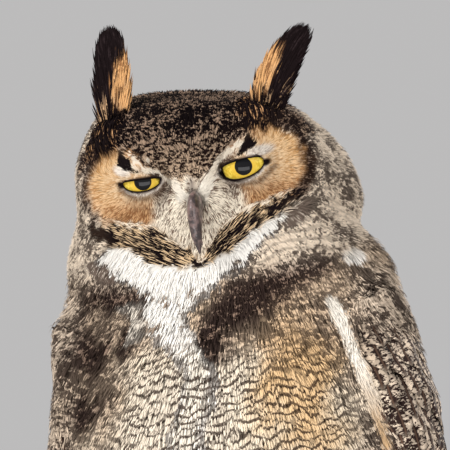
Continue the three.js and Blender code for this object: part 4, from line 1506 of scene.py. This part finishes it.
def vane_marking_group():
    """A flat feather's marks: worm-like flecks, dark cross bars, a dark shaft streak and fine barbs, with
    painted shade towards its root.
    """
    group, given, out = new_group(
        "Vane markings",
        {"Place": ("Vector", None), "Light": ("Color", None), "Dark": ("Color", None), "Share": ("Float", 0.5),
         "Across": ("Float", 0.0), "Along": ("Float", 0.0), "Down": ("Float", 0.0), "Feather": ("Float", 0.5),
         "Reach": ("Float", 0.5), "Bar pitch": ("Float", 14.0), "Bar strength": ("Float", 0.8),
         "Shaft streak": ("Float", 0.6), "Worm scale": ("Float", 1.0)},
        {"Color": "Color", "Height": "Float"},
    )
    w = Wiring(group)
    i = given.outputs
    made = w.node("ShaderNodeCombineXYZ")
    w.feed(made.inputs[0], w.times(i["Across"], 0.3))
    w.feed(made.inputs[1], w.times(i["Along"], 0.75))
    w.feed(made.inputs[2], w.times(i["Feather"], 40.0))
    worm = w.step(w.noise(made.outputs[0], i["Worm scale"], 3.0, 0.7), 0.33, 0.67)
    phase = w.sum("DIVIDE", i["Down"], i["Bar pitch"])
    wave = w.noise(made.outputs[0], 0.35, 1.0)
    phase = w.plus(phase, w.times(w.less(wave, 0.5), 0.9))
    swing = w.sum("SINE", w.times(phase, 2 * math.pi))
    bars = w.times(w.step(swing, -0.1, 0.55), i["Bar strength"])
    streak_wave = w.times(w.less(worm, 0.5), 2.4)
    side = w.plus(w.sum("ABSOLUTE", i["Across"]), streak_wave)
    streak = w.times(w.step(side, 2.9, 1.2), i["Shaft streak"])
    flecks = w.step(w.less(i["Share"], worm), -0.1, 0.14)
    dark = w.sum("MAXIMUM", w.sum("MAXIMUM", flecks, bars), streak)
    edge = w.step(i["Reach"], 0.86, 0.99)
    colour = w.mix(w.times(edge, 0.35), w.mix(dark, i["Light"], i["Dark"]), i["Light"])
    slope = w.plus(w.times(i["Along"], 5.2), w.times(w.sum("ABSOLUTE", i["Across"]), 5.2))
    barbs = w.plus(0.5, w.times(w.sum("SINE", slope), 0.5))
    shaft = w.step(w.sum("ABSOLUTE", i["Across"]), 0.75, 0.35)
    colour = w.mix(w.times(shaft, 0.5), colour, rgba(paint(120, 92, 74)))
    tint = w.plus(0.78, w.times(i["Feather"], 0.4))
    # painted shade: each vane is darker towards its root, where the feathers over it shade it
    root = w.plus(0.55, w.times(w.step(i["Reach"], 0.1, 0.7), 0.45))
    fine = w.plus(0.93, w.times(barbs, 0.1))
    tone = w.times(w.times(tint, root), fine)
    w.feed(out.inputs["Color"], w.mix(1.0, colour, combined(w, tone), "MULTIPLY"))
    w.feed(out.inputs["Height"], w.plus(w.times(barbs, 0.35), w.times(shaft, 0.8)))
    return group


VANE_MARKINGS = vane_marking_group()


VANES_HELD = {"marks": ("Share",), "where": ("Down", "Feather", "Reach"), "local": ("Across", "Along")}


def vane_material(name, bar_pitch, bar_strength, streak, worms):
    """Flat feathers, each with its marks drawn along its shaft."""
    settings = {"Bar pitch": bar_pitch, "Bar strength": bar_strength, "Shaft streak": streak,
                "Worm scale": worms}
    material, shader, w, outputs = feather_material(name, VANE_MARKINGS, 0.7, 0.12, VANES_HELD, settings)
    w.roughen(shader, 0.4, outputs["Height"])
    return material


# ---------------------------------------------------------------- wings and tail
WING_AXIS = ((20, 64), (77, 42), (133, 14), (190, -8), (247, -20), (303, -26), (360, -30))
CLEAR_OF_WING, CLEAR_OF_TAIL = 0.3, 0.4  # metres out that the rays towards the solids start
BLADE_ROWS = 14
BLADE_ROUNDING = 22.0  # how much higher the outer feathers of a wing's layer end than its middle ones
ROOT_SINK = 8.0  # how deep the roots of the long feathers lie under the coverts, in millimetres


def wing_axis(z):
    """How far back the line lies that a folded wing curves round, at a height. All in millimetres."""
    heights, backs = zip(*WING_AXIS)
    return np.interp(z, heights, backs)


def tree_of(node):
    """A CAD node's points, and its surface to be looked up."""
    points, triangles = bare_copy(node)
    return points, BVHTree.FromPolygons(points.tolist(), triangles.tolist())


def mended(line, found):
    """A line whose rows that missed its solid are filled in from their neighbours, or lead on from the last."""
    rows, good = np.arange(len(line)), np.flatnonzero(found)
    for axis in range(3):
        line[:, axis] = np.interp(rows, good, line[good, axis])
    for end, beside, past in ((good[-1], good[-2], rows > good[-1]), (good[0], good[1], rows < good[0])):
        line[past] = line[end] + (line[end] - line[beside]) * (0.7 * np.abs(rows[past] - end))[:, None]
    return line


def square_to(ups, lines):
    """These directions, turned square to the lines they stand on."""
    forward = unit(np.gradient(lines, axis=1))
    return unit(ups - forward * (ups * forward).sum(2)[:, :, None])


def blade_feathers(name, side, part, count, skin, width, cover, **settings):
    """The long feathers of one layer of a folded wing, side by side down the outside of its CAD solid."""
    points, tree = tree_of(f"wing_{part}_{side}")
    mm = points / MM
    low, high = mm[:, 2].min(), mm[:, 2].max()
    lines, found = np.zeros((count, BLADE_ROWS, 3)), np.ones((count, BLADE_ROWS), bool)
    for i, share in enumerate(np.linspace(-1, 1, count)):
        bottom = low + 5 + BLADE_ROUNDING * abs(share) ** 2.2
        for j, z in enumerate(np.linspace(high - 8, bottom, BLADE_ROWS)):
            near = mm[np.abs(mm[:, 2] - z) < 11]
            angles = np.arctan2(near[:, 1] - wing_axis(near[:, 2]), OUTWARDS[side] * near[:, 0])
            middle, half = (angles.max() + angles.min()) / 2, (angles.max() - angles.min()) / 2
            angle = middle + half * share * cover
            way = np.array((OUTWARDS[side] * math.cos(angle), math.sin(angle), 0.0))
            start = np.array((0.0, wing_axis(z), z)) * MM + way * CLEAR_OF_WING
            hit = tree.ray_cast(Vector(start), Vector(-way))[0]
            lines[i, j], found[i, j] = hit or (0, 0, 0), bool(hit)
        lines[i] = mended(lines[i], found[i])
    for _ in range(3):
        evened = lines.copy()
        evened[:, 1:-1] = (lines[:, :-2] + 2 * lines[:, 1:-1] + lines[:, 2:]) / 4
        lines = evened
    ups = lines.copy()
    ups[:, :, 1] -= wing_axis(lines[:, :, 2] / MM) * MM
    ups[:, :, 2] = 0
    ups = square_to(unit(ups), lines)
    _, _, faces = skin.nearest(lines[:, 1])
    root_sink = np.interp(np.arange(BLADE_ROWS), (0, 3), (ROOT_SINK, 0)) * MM
    lines = lines - ups * root_sink[None, :, None]
    return vanes(name, lines, ups, skin.flat[faces].mean(1), np.full(count, width), lift=(-4.5, -0.3),
                 stack=np.linspace(0, 1, count) * 1.6, phase=rng.uniform(-1, 1, count), **settings)


TAIL_COUNT, TAIL_COVER, TAIL_HALF_WIDTH = 12, 0.8, 12.5


def tail_feathers(name, skin, face):
    """The tail's long feathers, fanned over the back or the underside of its CAD solid."""
    points, tree = tree_of("tail")
    mm = points / MM
    low, high = mm[:, 2].min(), mm[:, 2].max()
    way = 1 if face == "back" else -1
    lines, found = np.zeros((TAIL_COUNT, BLADE_ROWS, 3)), np.ones((TAIL_COUNT, BLADE_ROWS), bool)
    shares = np.linspace(-1, 1, TAIL_COUNT)
    for i, share in enumerate(shares):
        bottom = low + 6 + 5 * abs(share) ** 2
        for j, z in enumerate(np.linspace(high - 6, bottom, BLADE_ROWS)):
            near = mm[np.abs(mm[:, 2] - z) < 14]
            right, left = near[:, 0].min(), near[:, 0].max()
            x = (left + right) / 2 + share * TAIL_COVER * (left - right) / 2
            hit = tree.ray_cast(Vector((x * MM, way * CLEAR_OF_TAIL, z * MM)), Vector((0, -way, 0)))[0]
            lines[i, j], found[i, j] = hit or (0, 0, 0), bool(hit)
        lines[i] = mended(lines[i], found[i])
    ups = np.zeros_like(lines)
    ups[:, :, 1] = way
    ups = square_to(ups, lines)
    _, _, faces = skin.nearest(lines[:, 2])
    stack = (1 - np.abs(shares)) * (1.5 if face == "back" else 0.4)
    return vanes(name, lines, ups, skin.flat[faces].mean(1), np.full(TAIL_COUNT, TAIL_HALF_WIDTH),
                 lift=(-0.9, -0.5), stack=stack, phase=np.zeros(TAIL_COUNT), point=0.16)


# ---------------------------------------------------------------- ear tufts
# One row for each tuft: its root, bend and tip in the head's frame, in millimetres.
EAR_TUFTS = {
    "left": ((38, -37, 18), (47, -36, 48), (68, -11, 67)),
    "right": ((-45, -37, 22), (-38, -38, 60), (-41.5, -15, 84)),
}
EAR_COUNT, EAR_ROWS, EAR_HALF_WIDTH = 850, 7, 11.0


def ear_lines(side, count):
    """Lines up an ear tuft: each leaves the tuft's middle line and leans out to its edge."""
    root, bend, tip = (np.array(p, float) for p in EAR_TUFTS[side])
    outwards = OUTWARDS[side]
    shares = rng.uniform(-1, 1, count)
    reach = rng.uniform(0.25, 1.0, count)
    start = np.maximum(reach - rng.uniform(0.3, 0.55, count), 0)
    t = start[:, None] + (reach - start)[:, None] * np.linspace(0, 1, EAR_ROWS)[None]
    line = ((1 - t) ** 2)[..., None] * root + (2 * t * (1 - t))[..., None] * bend + (t**2)[..., None] * tip
    along = unit((2 * (1 - t))[..., None] * (bend - root) + (2 * t)[..., None] * (tip - bend))
    face = np.array((0.0, -1.0, 0.15))
    across = unit(np.cross(along, np.broadcast_to(face, along.shape))) * outwards
    wide = EAR_HALF_WIDTH * np.sin(np.clip(t * 0.78 + 0.2, 0, 1) * math.pi) ** 0.6
    fan = shares[:, None] * wide * (0.35 + 0.65 * np.linspace(0, 1, EAR_ROWS)[None])
    front = unit(np.cross(across, along)) * np.sign(outwards)
    depth = rng.uniform(-4.2, 3.6, count)[:, None] * (1 - t)
    places = line + across * fan[..., None] + front * depth[..., None]
    ups = np.cross(across * outwards, along)
    return from_head(places.reshape(-1, 3)).reshape(places.shape), unit(ups @ HEAD_AXES.T), shares


def ear_tuft(side, skin):
    """One ear tuft: long soft strands, black towards its outer edge and buff towards the inner one."""
    lines, ups, shares = ear_lines(side, EAR_COUNT)
    _, _, faces = skin.nearest(lines[:, 0])
    edge = rng.normal(0, 0.13, EAR_COUNT)
    root, _, tip = (np.array(p, float) for p in EAR_TUFTS[side])

    def repaint(coat, tuft, points):
        up = (to_head(points) - root) @ (tip - root) / ((tip - root) @ (tip - root))
        black = smooth(-0.24, -0.08, shares[tuft] + edge[tuft] + 1.4 * smooth(0.5, 0.82, up))
        base = smooth(0.34, 0.2, up + edge[tuft])
        light = np.tile(paint(224, 170, 114), (len(tuft), 1))
        coat.light = blend(blend(light, paint(44, 34, 35), black), paint(206, 166, 126), base)
        coat.dark = blend(blend(paint(150, 104, 66) + 0 * light, SOOT, black), SOOT, base)
        coat.share = blend(np.full(len(tuft), 0.3), 0.72, np.maximum(base, black))
        coat.streak = np.full(len(tuft), 0.8)
        coat.bars = np.zeros(len(tuft))

    tuft = tufts_along(f"ear_tuft_feathers_{side}", lines, ups, skin.flat[faces].mean(1), 22.0, 0.85,
                       spread=1.0, kind="long", stand=(0.0, 0.8), depth=1.6, wander=0.07, repaint=repaint)
    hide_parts(f"ear_tuft_{side}")
    return tuft


# ---------------------------------------------------------------- the whole owl
def finish_piece(piece, material):
    """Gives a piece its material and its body."""
    piece.data.materials.clear()
    piece.data.materials.append(material)
    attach(piece, "root")
    return piece


# The soft plumage, one row for each piece: its name, where it grows, how many tufts, how long and how wide a
# strand is, how wide a tuft is and how far it may stand out, all in millimetres, its kind, its material and its
# slot, how far it takes its colours from its roots, and how far its feathers are out of step, where it has
# feathers wider than a tuft.
SOFT_COATS = (
    ("lid_plumage", "lids", 1300, 2.2, 0.36, 0.8, 0.9, "short", "fine", "face_feathers", 0.0, None),
    ("face_plumage", "face", 6200, 5.2, 0.5, 1.2, 2.0, "short", "fine", "face_feathers", 0.0, None),
    ("crown_plumage", "crown", 5400, 5.6, 0.62, 1.5, 3.0, "short", "crown", "plumage", 0.0, None),
    ("nape_plumage", "nape", 5000, 8.5, 0.75, 1.8, 3.6, "short", "neck", "plumage", 0.3, 4.0),
    ("throat_plumage", "throat", 3200, 9.5, 0.46, 1.7, 3.0, "long", "throat", "plumage", 0.35, None),
    ("breast_plumage", "breast", 3300, 13.0, 0.8, 2.2, 4.6, "long", "breast", "plumage", 0.4, 2.4),
    ("belly_plumage", "belly", 2600, 16.0, 1.1, 3.0, 5.5, "long", "breast", "plumage", 0.0, 1.6),
    ("leg_plumage", "legs", 2200, 9.0, 0.95, 2.0, 4.0, "short", "breast", "leg_feathers", 0.0, 1.0),
    ("toe_plumage", "toes", 1100, 4.2, 0.75, 1.3, 1.6, "short", "breast", "leg_feathers", 0.0, None),
)
FEATHER_SPACING = 9.0
# Three more, each with its name, how many tufts, and its sizes as above.
SHOULDER = ("shoulder_plumage", 1300, 12.0, 0.8, 2.2, 4.0)
STRIP = ("flank_strip_feathers", 420, 13.0, 0.46, 1.1, 3.4)
EAR_FOOT = ("ear_foot_plumage", 300, 15.0, 0.8, 2.0, 5.0)


def part_of_each(skin):
    """Which CAD part each of the skin's triangles lies nearest to, by its number in UNDER_COAT."""
    points, triangles, owners = join_copies(UNDER_COAT)
    cad = BVHTree.FromPolygons(points.tolist(), triangles.tolist())
    middles = skin.points[skin.triangles].mean(1)
    return middles, np.array([owners[cad.find_nearest(p)[2]] for p in middles.tolist()])


def by_triangle(shares):
    """A weight for sow that is already worked out for each of the skin's triangles."""
    return lambda places, normals: shares


def lay_coat(skin, row, grows, look, slot="plumage", **settings):
    """One piece of soft plumage, from its name, how many tufts it has, and its sizes."""
    name, count, length, width, spread, depth = row
    coat_piece = strands(name, skin, count, grows, length, width, spread=spread, depth=depth, **settings)
    return finish_piece(coat_piece, look)


COVERS_TOP = {"left": 350, "right": 344}  # how high the wings' cover feathers reach, in millimetres


def build_owl():
    """The skin, the soft plumage over it, and the feathers of the back, wings, ear tufts and tail."""
    skin_piece = build_skin()
    unwrap(skin_piece)
    skin = surface_of(skin_piece)
    looks = {
        "fine": plumage_material("face plumage", 620.0, painted_root_shadow=0.18),
        "crown": plumage_material("crown plumage", 720.0, 1.6, painted_root_shadow=0.25, tone_range=0.24),
        "neck": plumage_material("neck plumage", 430.0, 1.8, 3.4, painted_root_shadow=0.25, tone_range=0.3, shaft=0.5),
        "throat": plumage_material("throat plumage", 430.0, painted_root_shadow=0.08, tone_range=0.06),
        "breast": plumage_material("breast plumage", 320.0, 1.8, painted_root_shadow=0.2, tone_range=0.24, shaft=0.3),
    }
    cover = vane_material("cover feathers", 7.0, 0.3, 1.0, 1.0)
    flight = vane_material("flight feathers", 17.0, 0.85, 0.2, 0.8)

    coat = coat_at(skin.points)
    coat.streak = coat.streak * 0
    down = bar_place(skin.points)
    # the skin counts as the strands' roots, so it takes the full painted root shadow
    give_coat(skin_piece.data, coat, np.stack((down, np.full(len(down), 0.3), np.zeros(len(down))), 1))
    only(skin_piece)
    bpy.ops.object.shade_smooth()
    finish_piece(skin_piece, looks["breast"])
    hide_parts(*FLESH)

    middles, parts = part_of_each(skin)
    wings = np.isin(parts, [UNDER_COAT.index(node) for side in SIDES for node in WINGS[side]])
    tail = parts == UNDER_COAT.index("tail")
    mm = middles / MM

    for name, kind, count, length, width, spread, depth, shape, look, slot, rooted, disorder in SOFT_COATS:
        grows = growth(kind, ~(wings | tail))
        feathers = Feathers(skin, FEATHER_SPACING, grows, disorder) if disorder else None
        lay_coat(skin, (name, count, length, width, spread, depth), grows, looks[look], slot, kind=shape,
                 feathers=feathers, rooted=rooted, likeness=0.9 if kind == "throat" else 0.3,
                 roundness=0.2 if kind == "throat" else 0.5)

    # the breast's feathers run on over the tops and the front edges of the folded wings
    high = np.maximum(smooth(322, 338, mm[:, 2]) * smooth(-8, -20, mm[:, 1]), smooth(336, 348, mm[:, 2]))
    down_front = smooth(150, 230, mm[:, 2]) * smooth(-20, -40, mm[:, 1]) * (mm[:, 0] < 0)
    front_edge = by_triangle(wings * np.maximum(high, down_front))
    feathers = Feathers(skin, FEATHER_SPACING, front_edge, 4.0)
    lay_coat(skin, SHOULDER, front_edge, looks["neck"], kind="long", feathers=feathers, rooted=0.3)

    h = to_head(middles)
    foot = np.zeros(len(mm))
    for line in EAR_ROOTS.values():
        gap, _ = to_line(h[:, 0], h[:, 2], line)
        foot = np.maximum(foot, smooth(9, 5, gap) * smooth(-14, -26, h[:, 1]))
    lay_coat(skin, EAR_FOOT, by_triangle(foot), looks["crown"], kind="long", stand=(0.3, 1.0))

    gap, where = to_line(mm[:, 0], mm[:, 2], FLANK_STRIP)
    along_strip = smooth(0.6, -0.6, gap + 1.2 * where - STRIP_HALF) * smooth(-20, -36, mm[:, 1])
    lay_coat(skin, STRIP, by_triangle(along_strip), looks["throat"], kind="long", stand=(0.3, 0.8), rooted=0.8,
             roundness=0.15)

    def outer_wing(side, part):
        own = (parts == UNDER_COAT.index(f"wing_{part}_{side}")) & (OUTWARDS[side] * middles[:, 0] > 0)
        own = own & (mm[:, 2] < COVERS_TOP[side])

        def found(places, normals):
            axis = np.stack((places[:, 0] * 0, wing_axis(places[:, 2] / MM) * MM, places[:, 2]), 1)
            return own * ((normals * unit(places - axis)).sum(1) > 0.45)
        return found

    def back(places, normals):
        return (mm[:, 1] > 22) * (normals[:, 1] > -0.1) * (mm[:, 2] > 150) * (mm[:, 2] < 372) * ~wings

    finish_piece(vane_cover("back_feathers", skin, 10.0, back, 27.0, 9.0), cover)
    for side in SIDES:
        covers = vane_cover(f"wing_cover_feathers_{side}", skin, 8.5, outer_wing(side, "coverts"), 26.0, 7.5,
                            lift=(0.4, 2.6))
        finish_piece(covers, cover)
        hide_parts(f"wing_coverts_{side}")
        inner = blade_feathers(f"secondary_feathers_{side}", side, "secondaries", 9, skin, 12.0, cover=0.76)
        finish_piece(inner, flight)
        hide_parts(f"wing_secondaries_{side}")
        outer = blade_feathers(f"primary_feathers_{side}", side, "primaries", 8, skin, 9.0, cover=0.7,
                               point=0.2)
        finish_piece(outer, flight)
        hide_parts(f"wing_primaries_{side}")
        finish_piece(ear_tuft(side, skin), looks["fine"])
    top = tail_feathers("tail_feathers", skin, "back")
    finish_piece(top, flight)
    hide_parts("tail")
    finish_piece(tail_feathers("tail_feathers_under", skin, "front"), flight)


def build_bare_parts():
    """The eyes, the claws and the bill."""
    iris = eye_material()
    bill = horn_material("bill horn", paint(52, 42, 42), paint(124, 102, 98))
    claw = horn_material("claw horn", paint(20, 17, 17), paint(52, 45, 42))
    for side in SIDES:
        build_eye(side, iris)
        for toe in TOES:
            build_horn(f"talon_{toe}_{side}", f"claw_{toe}_{side}", 0.7, claw)
    upper = build_horn("bill_upper", "upper_bill", 0.6, bill)
    h = to_head(points_of(upper))
    h[:, 0] *= np.interp(h[:, 2], *BILL_WIDENING)
    set_points(upper, from_head(h))
    lower = build_horn("bill_lower", "lower_bill", 0.6, bill)
    set_points(lower, points_of(lower) + np.array(LOWER_BILL_SHIFT) * MM)


# ---------------------------------------------------------------- floor, light and camera
CAMERA_AZIMUTH, CAMERA_ELEVATION, CAMERA_DISTANCE = 22.0, -17.0, 1.2
VIEW_WIDTH = 0.250
VIEW_MIDDLE = (-0.0015, -0.0397, 0.393)
# One row for each light: its name, place, aim, size and power. The eyes mirror the low window.
SOFTBOXES = (
    ("key", (-0.9, -1.6, 1.5), (0, 0, 0.36), (1.0, 0.8), 32),
    ("fill", (1.6, -1.2, 0.7), (0, 0, 0.36), (1.2, 1.2), 11),
    ("back", (0.5, 1.6, 1.3), (0, 0, 0.3), (1.2, 1.0), 12),
    ("window", (0.06, -0.5, 0.055), (0, -0.07, 0.44), (0.5, 0.14), 1.0),
)


def build_stage():
    """The floor, the pale room, its lights and the camera."""
    bpy.ops.object.select_all(action="DESELECT")
    bpy.ops.mesh.primitive_plane_add(size=8.0)
    floor = bpy.context.object
    floor.name = "floor"
    material, shader = shader_of("floor", 0.9, 0.2)
    shader.inputs["Base Color"].default_value = rgba(paint(214, 213, 211))
    floor.data.materials.append(material)

    world = bpy.data.worlds.new("studio")
    world.use_nodes = True
    world.node_tree.nodes["Background"].inputs[0].default_value = rgba(paint(214, 213, 213))
    world.node_tree.nodes["Background"].inputs[1].default_value = 0.75
    bpy.context.scene.world = world

    for name, place, aim, size, power in SOFTBOXES:
        light = bpy.data.lights.new(name, "AREA")
        light.shape = "RECTANGLE"
        light.size, light.size_y = size
        light.energy = power
        box = bpy.data.objects.new(name, light)
        box.location = place
        box.visible_camera = False
        box.rotation_euler = (Vector(aim) - Vector(place)).to_track_quat("-Z", "Y").to_euler()
        bpy.context.scene.collection.objects.link(box)

    azimuth, elevation = math.radians(CAMERA_AZIMUTH), math.radians(CAMERA_ELEVATION)
    back = Vector((math.sin(azimuth) * math.cos(elevation), -math.cos(azimuth) * math.cos(elevation),
                   math.sin(elevation)))
    lens = bpy.data.cameras.new("camera")
    lens.sensor_width = 36.0
    lens.lens = 36.0 * CAMERA_DISTANCE / VIEW_WIDTH
    lens.clip_start = 0.01
    camera = bpy.data.objects.new("camera", lens)
    camera.location = Vector(VIEW_MIDDLE) + back * CAMERA_DISTANCE
    camera.rotation_euler = (-back).to_track_quat("-Z", "Y").to_euler()
    bpy.context.scene.collection.objects.link(camera)
    bpy.context.scene.camera = camera
    bpy.context.scene.view_settings.view_transform = "Standard"


build_stage()
build_owl()
build_bare_parts()
